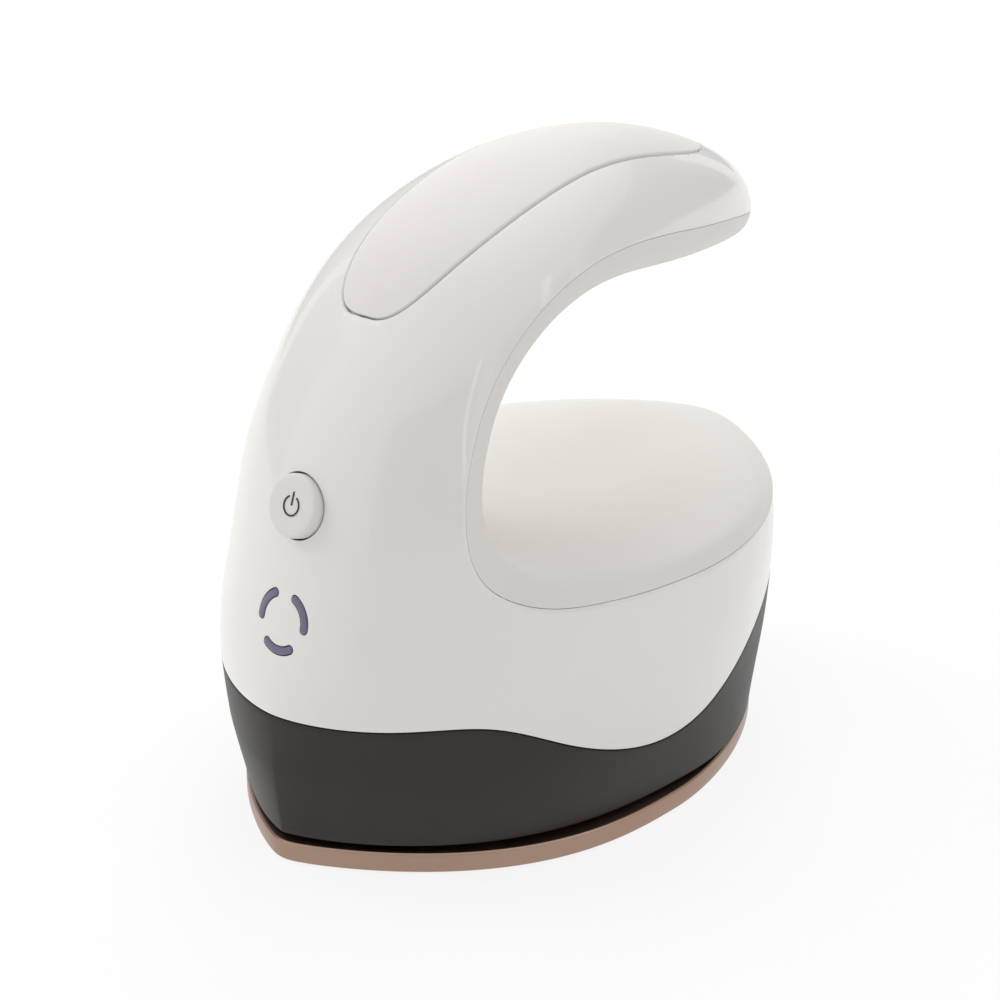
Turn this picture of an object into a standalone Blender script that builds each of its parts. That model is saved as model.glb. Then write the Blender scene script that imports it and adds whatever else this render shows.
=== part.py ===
"""Mini handheld heat press: sole plate, heater, base shell, C-shaped body with grip, button and electronics.

Metres, +Z up. The origin is the middle of the sole's flat face, the nose points to -Y and the right side is +X.
"""

import math

import bmesh
import bpy
import numpy as np
from mathutils import Matrix, Vector

# Sole plate
PLATE_LENGTH = 0.105
PLATE_WIDTH = 0.072
PLATE_THICKNESS = 0.0034
PLATE_CHAMFER = 0.0006
PLATE_FRONT_POWER = 2.6
PLATE_NOSE_POWER = 0.85
TAIL_POWER = 1.7

# Body, from its foot to its top
FOOT_HEIGHT = 0.0046
FOOT_FRONT_POWER = 2.9
FOOT_NOSE_POWER = 0.76
BODY_HEIGHT = 0.1009
FRONT_REACH = 0.0535
BACK_REACH = 0.0598
BODY_WIDTH = 0.076
ROUND_NOSE_HEIGHT = 0.0385
ROUND_NOSE_POWER = 2.1

# Sections of the body: height, front, half-width, back and widest place, the last as a share of the front reach
SECTION_SHARES = (
    (0.0446, 0.973, 0.926, 0.835, 0.097),
    (0.1586, 1.000, 0.968, 0.933, -0.018),
    (0.2676, 0.998, 1.000, 0.920, 0.028),
    (0.3964, 0.946, 0.972, 0.925, 0.046),
    (0.5649, 0.871, 0.774, 0.980, -0.271),
    (0.6937, 0.776, 0.629, 0.980, -0.370),
    (0.8028, 0.630, 0.576, 1.000, -0.280),
    (0.8920, 0.447, 0.524, 0.861, -0.050),
    (0.9514, 0.206, 0.397, 0.644, 0.110),
)
CROWN_PLACE_SHARE = 0.25

# Walls and clearances
WALL = 0.0024
LINER_WALL = 0.0022
GAP = 0.0003
OVERRUN = 0.002
MERGE_DISTANCE = 0.000003

# Seam between the glossy shell and the soft liner, in side view, from the grip's tip round to the rear of the deck:
# place as a share of the back reach, height as a share of the body's, and the liner's swell
SEAM_SHARES = (
    (1.010, 0.780, 0.30),
    (0.763, 0.815, 0.31),
    (0.455, 0.849, 0.32),
    (0.100, 0.877, 0.32),
    (-0.176, 0.857, 0.33),
    (-0.400, 0.777, 0.35),
    (-0.540, 0.658, 0.38),
    (-0.595, 0.540, 0.38),
    (-0.570, 0.468, 0.35),
    (-0.480, 0.430, 0.28),
    (-0.330, 0.413, 0.22),
    (-0.080, 0.404, 0.19),
    (0.330, 0.395, 0.19),
    (0.700, 0.386, 0.19),
    (0.962, 0.380, 0.18),
)
SWELL_POWER = 2.5
SEAM_STATIONS = 30
END_STEP_SHARES = (0.02, 0.1, 0.28, 0.58)
SWELL_POINTS = 10

# Wavy line where the dark base shell meets the glossy shell, in side view: place and height
WAVE_SHARES = (
    (-1.300, 0.253),
    (-0.780, 0.253),
    (-0.600, 0.252),
    (-0.420, 0.204),
    (-0.250, 0.163),
    (-0.060, 0.143),
    (0.130, 0.160),
    (0.300, 0.200),
    (0.480, 0.252),
    (0.700, 0.278),
    (1.300, 0.282),
)
WAVE_STATIONS = 44

# Grip pad, in plan
PAD_FRONT = 0.0324
PAD_BACK = 0.045
PAD_HALF_WIDTH = 0.0113
PAD_WIDEST_PLACE = 0.008
PAD_FRONT_POWER = 3.2
PAD_POCKET = 0.0014
PAD_CUT_HEIGHT = 0.07

# Power button and its switch, along the button's axis
BUTTON_PLACE = 0.0468
BUTTON_HEIGHT = 0.0569
BUTTON_LEAN = math.radians(19.5)
BUTTON_RADIUS = 0.0048
BUTTON_PROUD = 0.0012
BUTTON_EDGE = 0.0005
FLANGE_RADIUS = 0.006
FLANGE_THICKNESS = 0.0008
FLANGE_DEPTH = 0.0036
STEM_RADIUS = 0.0018
STEM_LENGTH = 0.0012
PLUNGER_RADIUS = 0.0016
PLUNGER_LENGTH = 0.0026
PLUNGER_GAP = 0.0004
PLUNGER_BORE_DEPTH = 0.0024
SWITCH_SIDE = 0.006
SWITCH_THICKNESS = 0.0034

# Control board behind the front of the column
CONTROL_WIDTH = 0.018
CONTROL_ABOVE = 0.0085
CONTROL_BELOW = 0.0245
CONTROL_DEPTH = 0.0116
BOARD_THICKNESS = 0.0014
CONTROL_POST_RADIUS = 0.0018
CONTROL_POST_INSET = 0.0026
CONTROL_POST_LOW_ROOT = 0.005
CONTROL_POST_HIGH_ROOT = 0.0023

# Three curved light windows below the button, with their light guide
WINDOW_PLACE = 0.0506
WINDOW_HEIGHT = 0.0396
WINDOW_LEAN = math.radians(12.0)
WINDOW_RADIUS = 0.0044
WINDOW_STROKE = 0.0015
WINDOW_SWEEP = math.radians(66.0)
WINDOW_STEPS = 6
WINDOW_END_STEPS = 4
WINDOW_DEPTH = 0.0038
WINDOW_CUT = 0.002
WINDOW_ANGLES = {"left": math.radians(150.0), "right": math.radians(30.0), "bottom": math.radians(270.0)}
GUIDE_OUTER_RADIUS = 0.0062
GUIDE_INNER_RADIUS = 0.003
GUIDE_DEPTH = 0.0047
GUIDE_LENGTH = 0.002
LED_WIDTH = 0.0018
LED_THICKNESS = 0.0007

# Heater on the plate
BOSS_RADIUS = 0.003
FRONT_BOSS = (0.023, -0.017)
REAR_BOSS = (0.0215, 0.022)
ELEMENT_RADIUS = 0.002
ELEMENT_HALF_SPREAD = 0.014
ELEMENT_BEND_PLACE = -0.012
ELEMENT_REAR_PLACE = 0.029
ELEMENT_BEND_RADIUS = 0.005
TERMINAL_HEIGHT = 0.0185
ELEMENT_BEND_STEPS = 4
ELEMENT_TURN_STEPS = 8
CLAMP_THICKNESS = 0.0008
CLAMP_HALF_WIDTH = 0.0165
CLAMP_FRONT = 0.024
CLAMP_BACK = 0.02
CLAMP_SCREW_PLACE = 0.015
CLAMP_BOSS_RADIUS = 0.0026
INSULATION_THICKNESS = 0.0015
INSULATION_INSET = 0.01
SHIELD_THICKNESS = 0.0005
SERVICE_HALF_WIDTH = 0.0086
SERVICE_HALF_LENGTH = 0.0186
BEAD_WALL = 0.0013
BEAD_HEIGHT = 0.003
THERMOSTAT_RADIUS = 0.006
THERMOSTAT_HEIGHT = 0.0052
THERMOSTAT_FLANGE_RADIUS = 0.0075
THERMOSTAT_FLANGE = 0.0006
FUSE_RADIUS = 0.0015
FUSE_LENGTH = 0.012
FUSE_PLACE = -0.0101
SENSOR_RADIUS = 0.0012
SENSOR_LENGTH = 0.008
SENSOR_PLACE = 0.0101
POCKET_CLEARANCE = 0.0008

# Gasket between the plate and the base shell
GASKET_INSET = 0.0036
GASKET_WIDTH = 0.0016

# Base shell
FLOOR_THICKNESS = 0.0018
BASE_POST_RADIUS = 0.0026
SHELL_POST_RADIUS = 0.003
SHELL_POST_TOP = 0.034
FRONT_POST_TOP = 0.0283
FRONT_POST_PLACE = -0.0455
SIDE_POST = (0.03, -0.0035)
REAR_POST = (0.0122, 0.0372)
POST_WEB = 0.0016
WEB_BOTTOM = 0.0292
FRONT_WEB_BOTTOM = 0.0262
HOOK_PLACES = (-0.008, 0.02)
HOOK_LENGTH = 0.006
HOOK_THICKNESS = 0.0012
HOOK_DROP = 0.0045
HOOK_RISE = 0.003
HOOK_CLEARANCE = 0.0006

# Power board and what it carries
POWER_BOARD_WIDTH = 0.044
POWER_BOARD_LENGTH = 0.034
POWER_BOARD_PLACE = 0.003
POWER_BOARD_HEIGHT = 0.022
BOARD_SCREW_INSET = 0.003
RELAY_SIZE = (0.0105, 0.0155, 0.0098)
TRANSFORMER_SIZE = (0.014, 0.0125, 0.0112)
TERMINAL_SIZE = (0.016, 0.0075, 0.0086)
CAPACITOR_RADIUS = 0.0038
CAPACITOR_HEIGHT = 0.0108
PART_SPACING = 0.0015

# Cord inlet at the rear of the base shell
GLAND_HEIGHT = 0.0205
GLAND_BORE_RADIUS = 0.0028
GLAND_RADIUS = 0.0041
GLAND_FLANGE_RADIUS = 0.0052
GLAND_FLANGE = 0.0012
GLAND_INSIDE = 0.0022
CORD_CLAMP_PLACE = 0.0432
CORD_CLAMP_HALF_WIDTH = 0.0084
CORD_CLAMP_LENGTH = 0.0044
CORD_CLAMP_RISE = 0.0044
CORD_CLAMP_SCREW_PLACE = 0.0059

# Screws
SCREW_RADIUS = 0.00115
SCREW_HOLE_RADIUS = 0.0015
SCREW_HEAD_RADIUS = 0.0023
SCREW_HEAD_HEIGHT = 0.0014
SMALL_SCREW_SCALE_SHARE = 0.7
SLOT_RADIUS_SHARE = 0.45
SLOT_DEPTH_SHARE = 0.5
SCREW_EDGE_SHARE = 0.35
SCREW_STEPS = 8
SHELL_SCREW_LENGTH = 0.009
BOARD_SCREW_LENGTH = 0.006
CONTROL_SCREW_LENGTH = 0.005

# Leads and ribbon
LEAD_RADIUS = 0.0008
RIBBON_WIDTH = 0.008
RIBBON_THICKNESS = 0.0006
RIBBON_SEAT = 0.0035
RIBBON_FOOT = 0.0014
RIBBON_STEPS = 14
LEAD_STEPS = 10

# How finely round shapes are cut
RING_STEPS = 9
BODY_RINGS = 21
TOP_RING_TURN = math.radians(88.0)
ROUND_STEPS = 18
SMALL_STEPS = 10

HALF_LENGTH = PLATE_LENGTH / 2
ELEMENT_HEIGHT = PLATE_THICKNESS + GAP + ELEMENT_RADIUS
CLAMP_BOTTOM = ELEMENT_HEIGHT + ELEMENT_RADIUS + GAP
CLAMP_TOP = CLAMP_BOTTOM + CLAMP_THICKNESS
INSULATION_BOTTOM = CLAMP_TOP + GAP
INSULATION_TOP = INSULATION_BOTTOM + INSULATION_THICKNESS
SHIELD_BOTTOM = INSULATION_TOP + GAP
FLOOR_BOTTOM = SHIELD_BOTTOM + SHIELD_THICKNESS + GAP
FLOOR_TOP = FLOOR_BOTTOM + FLOOR_THICKNESS


def clear_scene():
    for obj in list(bpy.data.objects):
        bpy.data.objects.remove(obj, do_unlink=True)


clear_scene()
scene = bpy.context.scene
press = bpy.data.collections.new("mini_heat_press")
cutters = bpy.data.collections.new("cutters")
scene.collection.children.link(press)
scene.collection.children.link(cutters)


def material(name, colour, roughness, metallic=0.0):
    """A Principled material from its linear colour, roughness and metallic value."""
    made = bpy.data.materials.new(name)
    made.use_nodes = True
    shader = made.node_tree.nodes["Principled BSDF"]
    shader.inputs["Base Color"].default_value = (*colour, 1.0)
    shader.inputs["Roughness"].default_value = roughness
    shader.inputs["Metallic"].default_value = metallic
    made.diffuse_color = (*colour, 1.0)
    return made


ROSE_GOLD = material("rose_gold_plate", (0.60, 0.38, 0.29), 0.32, 1.0)
DARK_SATIN = material("dark_satin_plastic", (0.055, 0.052, 0.047), 0.5)
GLOSS_WHITE = material("gloss_white_plastic", (0.80, 0.79, 0.76), 0.12)
MATTE_WHITE = material("matte_white_plastic", (0.78, 0.77, 0.74), 0.45)
SOFT_WHITE = material("soft_touch_pad", (0.77, 0.75, 0.73), 0.6)
LENS_VIOLET = material("violet_light_window", (0.10, 0.085, 0.17), 0.2)
CLEAR_GUIDE = material("clear_light_guide", (0.75, 0.75, 0.78), 0.1)
GASKET_BROWN = material("brown_silicone", (0.07, 0.035, 0.02), 0.7)
MICA = material("mica_sheet", (0.55, 0.47, 0.35), 0.8)
SHEET_STEEL = material("sheet_steel", (0.56, 0.57, 0.58), 0.35, 1.0)
BLACK_STEEL = material("black_steel", (0.04, 0.04, 0.04), 0.4, 0.8)
BOARD_GREEN = material("board_green", (0.02, 0.12, 0.05), 0.45)
BLACK_PLASTIC = material("black_plastic", (0.02, 0.02, 0.02), 0.5)
BLUE_PLASTIC = material("blue_plastic", (0.03, 0.10, 0.32), 0.4)
YELLOW_TAPE = material("yellow_tape", (0.65, 0.45, 0.05), 0.4)
CERAMIC = material("white_ceramic", (0.75, 0.74, 0.70), 0.5)
LEAD_RED = material("red_lead", (0.40, 0.02, 0.02), 0.5)
LEAD_BLUE = material("blue_lead", (0.02, 0.06, 0.35), 0.5)
RIBBON_GREY = material("grey_ribbon", (0.35, 0.35, 0.36), 0.5)


def add(name, bm, look=None, smooth_angle=35.0):
    """Turns a bmesh into a named object. Without a material it is a cutter, which no render shows."""
    bmesh.ops.recalc_face_normals(bm, faces=bm.faces)
    mesh = bpy.data.meshes.new(name)
    bm.to_mesh(mesh)
    bm.free()
    mesh.shade_smooth()
    mesh.set_sharp_from_angle(angle=math.radians(smooth_angle))
    obj = bpy.data.objects.new(name, mesh)
    if look is None:
        cutters.objects.link(obj)
        obj.hide_render = True
        obj.display_type = "WIRE"
    else:
        press.objects.link(obj)
        mesh.materials.append(look)
    return obj


def combine(obj, other, operation):
    """Cuts with, joins or keeps what is common with another object, by a Boolean modifier."""
    step = obj.modifiers.new(operation.lower() + "_" + other.name, "BOOLEAN")
    step.operation = operation
    step.solver = "EXACT"
    step.object = other


def cylinder_into(bm, radius, bottom, top, centre=(0.0, 0.0), steps=ROUND_STEPS):
    """An upright cylinder between two heights."""
    place = Matrix.Translation((centre[0], centre[1], (bottom + top) / 2))
    bmesh.ops.create_cone(
        bm, cap_ends=True, segments=steps, radius1=radius, radius2=radius, depth=top - bottom, matrix=place
    )


def box_into(bm, low, high):
    """A box between two corners."""
    low, high = Vector(low), Vector(high)
    place = Matrix.Translation((low + high) / 2) @ Matrix.Diagonal((*(high - low), 1.0))
    bmesh.ops.create_cube(bm, size=1.0, matrix=place)


def box(name, low, high, look=None):
    bm = bmesh.new()
    box_into(bm, low, high)
    return add(name, bm, look)


def cylinder(name, radius, bottom, top, centre=(0.0, 0.0), look=None, steps=ROUND_STEPS):
    bm = bmesh.new()
    cylinder_into(bm, radius, bottom, top, centre, steps)
    return add(name, bm, look)


def loft(bm, rings):
    """Joins rings of equally many points by quads, and closes both ends."""
    rows = [[bm.verts.new(point) for point in ring] for ring in rings]
    for low, high in zip(rows, rows[1:]):
        for i in range(len(low)):
            j = (i + 1) % len(low)
            bm.faces.new((low[i], low[j], high[j], high[i]))
    bm.faces.new(rows[0][::-1])
    bm.faces.new(rows[-1])


def prism(name, outline, bottom, top, look=None):
    """A flat outline in plan, drawn up between two heights."""
    bm = bmesh.new()
    loft(bm, [[(x, y, z) for x, y in outline] for z in (bottom, top)])
    return add(name, bm, look)


def smooth_curve(places, values):
    """A curve through hand-chosen points that never overshoots them."""
    x, y = np.asarray(places, float), np.asarray(values, float)
    step, slope = np.diff(x), np.diff(y) / np.diff(x)
    tangent = np.zeros(len(x))
    tangent[0], tangent[-1] = slope[0], slope[-1]
    same = slope[:-1] * slope[1:] > 0
    before, after = 2 * step[1:] + step[:-1], step[1:] + 2 * step[:-1]
    mean = np.zeros(len(slope) - 1)
    mean[same] = (before + after)[same] / (before[same] / slope[:-1][same] + after[same] / slope[1:][same])
    tangent[1:-1] = mean

    def at(place):
        place = np.clip(place, x[0], x[-1])
        i = np.clip(np.searchsorted(x, place) - 1, 0, len(step) - 1)
        t = (place - x[i]) / step[i]
        rise = y[i] * (1 + 2 * t) * (1 - t) ** 2 + y[i + 1] * t * t * (3 - 2 * t)
        return rise + step[i] * (tangent[i] * t * (1 - t) ** 2 - tangent[i + 1] * t * t * (1 - t))

    return at


def rounding(height_share):
    """Measures height so that the body closes roundly over its top."""
    return -np.sqrt(np.maximum(1.0 - np.asarray(height_share, float), 0.0))


def section_curves():
    """Front, half-width, back and widest place of the body against its height."""
    table = np.array(SECTION_SHARES)
    crown = CROWN_PLACE_SHARE * BACK_REACH
    keys = np.append(rounding(table[:, 0]), 0.0)
    front = np.append(-table[:, 1] * FRONT_REACH, crown)
    half_width = np.append(table[:, 2] * BODY_WIDTH / 2, 0.0)
    back = np.append(table[:, 3] * BACK_REACH, crown)
    widest = np.append(table[:, 4] * FRONT_REACH, crown)
    return [smooth_curve(keys, values) for values in (front, half_width, back, widest)]


FRONT, HALF_WIDTH, BACK, WIDEST = section_curves()


def section(height):
    """The body's section at a height: its four places and its two front powers."""
    key = rounding(height / BODY_HEIGHT)
    front, half_width, back, widest = (float(curve(key)) for curve in (FRONT, HALF_WIDTH, BACK, WIDEST))
    share = min(max((height - FOOT_HEIGHT) / (ROUND_NOSE_HEIGHT - FOOT_HEIGHT), 0.0), 1.0)
    share = share * share * (3 - 2 * share)
    power = FOOT_FRONT_POWER + (ROUND_NOSE_POWER - FOOT_FRONT_POWER) * share
    nose = FOOT_NOSE_POWER + (1 / ROUND_NOSE_POWER - FOOT_NOSE_POWER) * share
    return front, half_width, back, widest, power, nose


def width_at(place, height):
    """Half the body's width at a place along it and a height."""
    front, half_width, back, widest, power, nose = section(height)
    if place < widest:
        share = min((widest - place) / (widest - front), 1.0)
        return half_width * (1 - share**power) ** nose
    share = min((place - widest) / (back - widest), 1.0)
    return half_width * (1 - share**TAIL_POWER) ** (1 / TAIL_POWER)


def egg(front, half_width, back, widest, front_power, nose_power, steps=RING_STEPS):
    """A plan outline: right side from the nose to the tail, then the left side back."""
    right = []
    for i in range(steps + 1):
        share = math.cos(i / steps * math.pi / 2)
        x = half_width * max(1 - share**front_power, 0.0) ** nose_power
        right.append((x, widest - share * (widest - front)))
    for i in range(1, steps + 1):
        share = math.sin(i / steps * math.pi / 2)
        x = half_width * max(1 - share**TAIL_POWER, 0.0) ** (1 / TAIL_POWER)
        right.append((x, widest + share * (back - widest)))
    left = [(-x, y) for x, y in right[-2:0:-1]]
    return right + left


def plate_outline(inset=0.0, steps=RING_STEPS + RING_STEPS // 2):
    """The sole plate's outline, drawn in by an even inset."""
    half_width = PLATE_WIDTH / 2
    points = egg(-HALF_LENGTH, half_width, HALF_LENGTH, 0.0, PLATE_FRONT_POWER, PLATE_NOSE_POWER, steps)
    return [tuple(p) for p in inset_outline(np.array(points), inset)]


def inset_outline(points, inset):
    """Moves a mirrored outline inwards by an even distance, without crossing its middle plane."""
    half = len(points) // 2
    along = np.roll(points, -1, 0) - np.roll(points, 1, 0)
    inward = np.stack([-along[:, 1], along[:, 0]], -1)
    right = (points + inset * inward / np.linalg.norm(inward, axis=1)[:, None])[: half + 1]
    inside = np.flatnonzero(right[1:-1, 0] > GAP) + 1
    first, last = inside[0], inside[-1]
    ends = []
    for end, near, far in ((0, first, first + 1), (half, last, last - 1)):
        slope = (right[near, 1] - right[far, 1]) / (right[far, 0] - right[near, 0])
        crossed = near not in (1, half - 1)
        ends.append([0.0, right[near, 1] + slope * right[near, 0] if crossed else right[end, 1]])
    right = np.array([ends[0], *right[first : last + 1], ends[1]])
    count = np.arange(len(right))
    even = np.linspace(0, count[-1], half + 1)
    right = np.stack([np.interp(even, count, right[:, i]) for i in (0, 1)], -1)
    return np.concatenate([right, right[-2:0:-1] * (-1, 1)])


def body_rings():
    """Sections of the body from its foot to just under its top, closer together towards the top."""
    rings = []
    for i in range(BODY_RINGS):
        height = FOOT_HEIGHT + (BODY_HEIGHT - FOOT_HEIGHT) * math.sin(i / (BODY_RINGS - 1) * TOP_RING_TURN)
        rings.append([(x, y, height) for x, y in egg(*section(height))])
    return np.array(rings)


BODY_SURFACE = body_rings()


def surface_normals():
    """Outward directions of the body's surface at the points of its rings."""
    along = np.roll(BODY_SURFACE, -1, 1) - np.roll(BODY_SURFACE, 1, 1)
    up = np.gradient(BODY_SURFACE, axis=0)
    normal = np.cross(along, up)
    return normal / np.linalg.norm(normal, axis=2)[:, :, None]


BODY_NORMALS = surface_normals()


def body_solid(name, inset, below=0.0, look=None):
    """The body's outer form drawn in by an inset, with its foot lengthened downwards."""
    rings = BODY_SURFACE - inset * BODY_NORMALS
    foot = rings[0].copy()
    foot[:, 2] = FOOT_HEIGHT - below
    rings[0][:, 2] = FOOT_HEIGHT
    stack = [foot, *rings] if below else list(rings)
    bm = bmesh.new()
    loft(bm, stack)
    return add(name, bm, look)


def seam_path(stations=SEAM_STATIONS):
    """The liner's seam in side view, evenly spaced: places, heights and swell shares."""
    table = np.array(SEAM_SHARES)
    points = np.stack([table[:, 0] * BACK_REACH, table[:, 1] * BODY_HEIGHT], -1)
    run = np.append(0.0, np.cumsum(np.linalg.norm(np.diff(points, axis=0), axis=1)))
    even = np.linspace(0.0, run[-1], stations)
    place, height, swell = (smooth_curve(run, values)(even) for values in (points[:, 0], points[:, 1], table[:, 2]))
    return place, height, swell


def side_prism(name, outline):
    """A side-view outline drawn out past both sides of the body."""
    reach = BODY_WIDTH / 2 + OVERRUN
    bm = bmesh.new()
    loft(bm, [[(x, y, z) for y, z in outline] for x in (-reach, reach)])
    return add(name, bm)


def wave_line():
    table = np.array(WAVE_SHARES)
    curve = smooth_curve(table[:, 0] * BACK_REACH, table[:, 1] * BODY_HEIGHT)
    places = np.linspace(table[0, 0], table[-1, 0], WAVE_STATIONS) * BACK_REACH
    return [(float(y), float(curve(y))) for y in places]


def wave_cutter(name, shift, upwards):
    """Takes away all above or all below the wavy parting line, which is first moved up or down."""
    line = [(y, z + shift) for y, z in wave_line()]
    far = BODY_HEIGHT + OVERRUN if upwards else -OVERRUN
    return side_prism(name, line + [(line[-1][0], far), (line[0][0], far)])


def liner_stations():
    """Runs along the seam where the liner's sections lie, closer together at its two ends."""
    place, height, swell = seam_path(SEAM_STATIONS * 8)
    inside = [i for i in range(len(place)) if width_at(place[i], height[i]) > 0]
    first, last = inside[0], inside[-1]
    even = np.linspace(first, last, SEAM_STATIONS)
    ends = np.array(END_STEP_SHARES) * (even[1] - even[0])
    runs = np.concatenate([[first], first + ends, even[1:-1], last - ends[::-1], [last]])
    index = np.arange(len(place))
    return [np.interp(runs, index, values) for values in (place, height, swell)]


def seam_cutter():
    """Opens the glossy shell where the liner lies: the grip's underside, the column's rear and the deck."""
    place, height, _ = seam_path()
    inner_place, inner_height, _ = liner_stations()
    line = [(place[0], height[0]), *zip(inner_place, inner_height), (place[-1], height[-1])]
    beyond = BACK_REACH * 2
    return side_prism("seam_cutter", line + [(beyond, height[-1]), (beyond, height[0])])


def liner_form(name, inset, below, look=None):
    """The liner's swelling form above its seam, drawn in by an inset and lengthened below its flat side."""
    place, height, swell = liner_stations()
    path = np.stack([place, height], -1)
    along = np.gradient(path, axis=0)
    along /= np.linalg.norm(along, axis=1)[:, None]
    rings = []
    for (y, z), (run_y, run_z), share in zip(path, along, swell):
        half_width = max(width_at(y, z), GAP)
        depth = share * math.sqrt(half_width * BODY_WIDTH / 2)
        if min(half_width, depth) < 2 * inset + GAP:
            continue
        ring = []
        for i in range(SWELL_POINTS + 1):
            angle = i / SWELL_POINTS * math.pi
            across = math.copysign(abs(math.cos(angle)) ** (2 / SWELL_POWER), math.cos(angle))
            lift = max(math.sin(angle), 0.0) ** (2 / SWELL_POWER)
            ring.append(((half_width - inset) * across, GAP + (depth - inset) * lift))
        if below:
            ring = [(ring[0][0], GAP - below)] + ring + [(ring[-1][0], GAP - below)]
        rings.append([(x, y - n * run_z, z + n * run_y) for x, n in ring])
    bm = bmesh.new()
    loft(bm, rings)
    return add(name, bm, look)


def slab(name, inset, low, high, steps=3):
    """The inside of the base between two heights, drawn in evenly from the body's sides."""
    bm = bmesh.new()
    heights = [low + (high - low) * i / steps for i in range(steps + 1)]
    rings = []
    for height in heights:
        outline = inset_outline(np.array(egg(*section(max(height, FOOT_HEIGHT)))), inset)
        rings.append([(x, y, height) for x, y in outline])
    loft(bm, rings)
    return add(name, bm)


def ring_prism(name, outer, inner, bottom, top, look):
    """A flat ring between two outlines of equally many points."""
    bm = bmesh.new()
    loops = [[bm.verts.new((x, y, z)) for x, y in line] for line, z in
             ((outer, bottom), (outer, top), (inner, top), (inner, bottom))]
    for low, high in zip(loops, loops[1:] + loops[:1]):
        for i in range(len(low)):
            j = (i + 1) % len(low)
            bm.faces.new((low[i], low[j], high[j], high[i]))
    return add(name, bm, look)


def turned(name, profile, look, frame=None, steps=SMALL_STEPS):
    """A profile of radii and heights, spun round Z and placed by a frame."""
    bm = bmesh.new()
    points = [bm.verts.new((radius, 0.0, height)) for radius, height in profile]
    edges = [bm.edges.new(pair) for pair in zip(points, points[1:])]
    bmesh.ops.spin(
        bm, geom=points + edges, cent=(0, 0, 0), axis=(0, 0, 1), angle=math.tau, steps=steps, use_merge=True
    )
    bmesh.ops.remove_doubles(bm, verts=bm.verts, dist=MERGE_DISTANCE)
    obj = add(name, bm, look)
    if frame:
        obj.matrix_world = frame
    return obj


def upright(x, y, z, flipped=False):
    """A frame at a point whose axis points up, or down where it is flipped."""
    turn = Matrix.Rotation(math.pi, 4, "X") if flipped else Matrix.Identity(4)
    return Matrix.Translation((x, y, z)) @ turn


def screw(name, frame, length, scale_share=1.0):
    """A pan-head screw whose head rests on the frame's origin, with a round socket in its head."""
    head, radius = SCREW_HEAD_RADIUS * scale_share, SCREW_RADIUS * scale_share
    rise = SCREW_HEAD_HEIGHT * scale_share
    socket, sunk = head * SLOT_RADIUS_SHARE, rise * (1 - SLOT_DEPTH_SHARE)
    edge = head * (1 - SCREW_EDGE_SHARE)
    profile = [(0, sunk), (socket, sunk), (socket, rise), (edge, rise), (head, rise * SCREW_EDGE_SHARE), (head, 0)]
    profile += [(radius, 0), (radius, -length + radius), (radius * SLOT_RADIUS_SHARE, -length), (0, -length)]
    return turned(name, profile, SHEET_STEEL, frame, SCREW_STEPS)


def axis_frame(place, height, lean, depth=0.0):
    """A frame on the column's front: X stays, Y runs up the face and Z points out of it."""
    up = Vector((0.0, math.sin(lean), math.cos(lean)))
    out = Vector((0.0, -math.cos(lean), math.sin(lean)))
    spot = Vector((0.0, -place, height)) - depth * out
    return Matrix.Translation(spot) @ Matrix((Vector((1, 0, 0)), up, out)).transposed().to_4x4()


BUTTON_FRAME = axis_frame(BUTTON_PLACE, BUTTON_HEIGHT, BUTTON_LEAN)
WINDOW_FRAME = axis_frame(WINDOW_PLACE, WINDOW_HEIGHT, WINDOW_LEAN)


def framed(name, frame, look, build):
    """A shape built along Z in its own axes, then set in a frame."""
    bm = bmesh.new()
    build(bm)
    obj = add(name, bm, look)
    obj.matrix_world = frame
    return obj


def post(bm, radius, bottom, top, centre):
    cylinder_into(bm, radius, bottom, top, centre, SMALL_STEPS)


def pad_outline(outset):
    points = egg(-PAD_FRONT, PAD_HALF_WIDTH, PAD_BACK, PAD_WIDEST_PLACE, PAD_FRONT_POWER, 1 / PAD_FRONT_POWER)
    return [tuple(p) for p in inset_outline(np.array(points), -outset)]


def arc_outline(angle, outset):
    """A short arc with round ends, as the light windows have."""
    middle, half = WINDOW_RADIUS, WINDOW_STROKE / 2 + outset
    sweep = WINDOW_SWEEP - WINDOW_STROKE / WINDOW_RADIUS
    start = angle - sweep / 2
    points = []
    for side, radius in ((1, middle + half), (-1, middle - half)):
        for i in range(WINDOW_STEPS + 1):
            turn = start + sweep * (i if side > 0 else WINDOW_STEPS - i) / WINDOW_STEPS
            points.append((radius * math.cos(turn), radius * math.sin(turn)))
        end = start + sweep if side > 0 else start
        for i in range(1, WINDOW_END_STEPS):
            turn = end + (0 if side > 0 else math.pi) + math.pi * i / WINDOW_END_STEPS
            points.append((middle * math.cos(end) + half * math.cos(turn), middle * math.sin(end) + half * math.sin(turn)))
    return points


def window_prism(name, angle, outset, low, high, look=None):
    outline = arc_outline(angle, outset)
    return framed(name, WINDOW_FRAME, look, lambda bm: loft(bm, [[(x, y, z) for x, y in outline] for z in (low, high)]))


def mirrored(x):
    """The same distance on the left and on the right, with the sides' names."""
    return (("left", -x), ("right", x))


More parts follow.
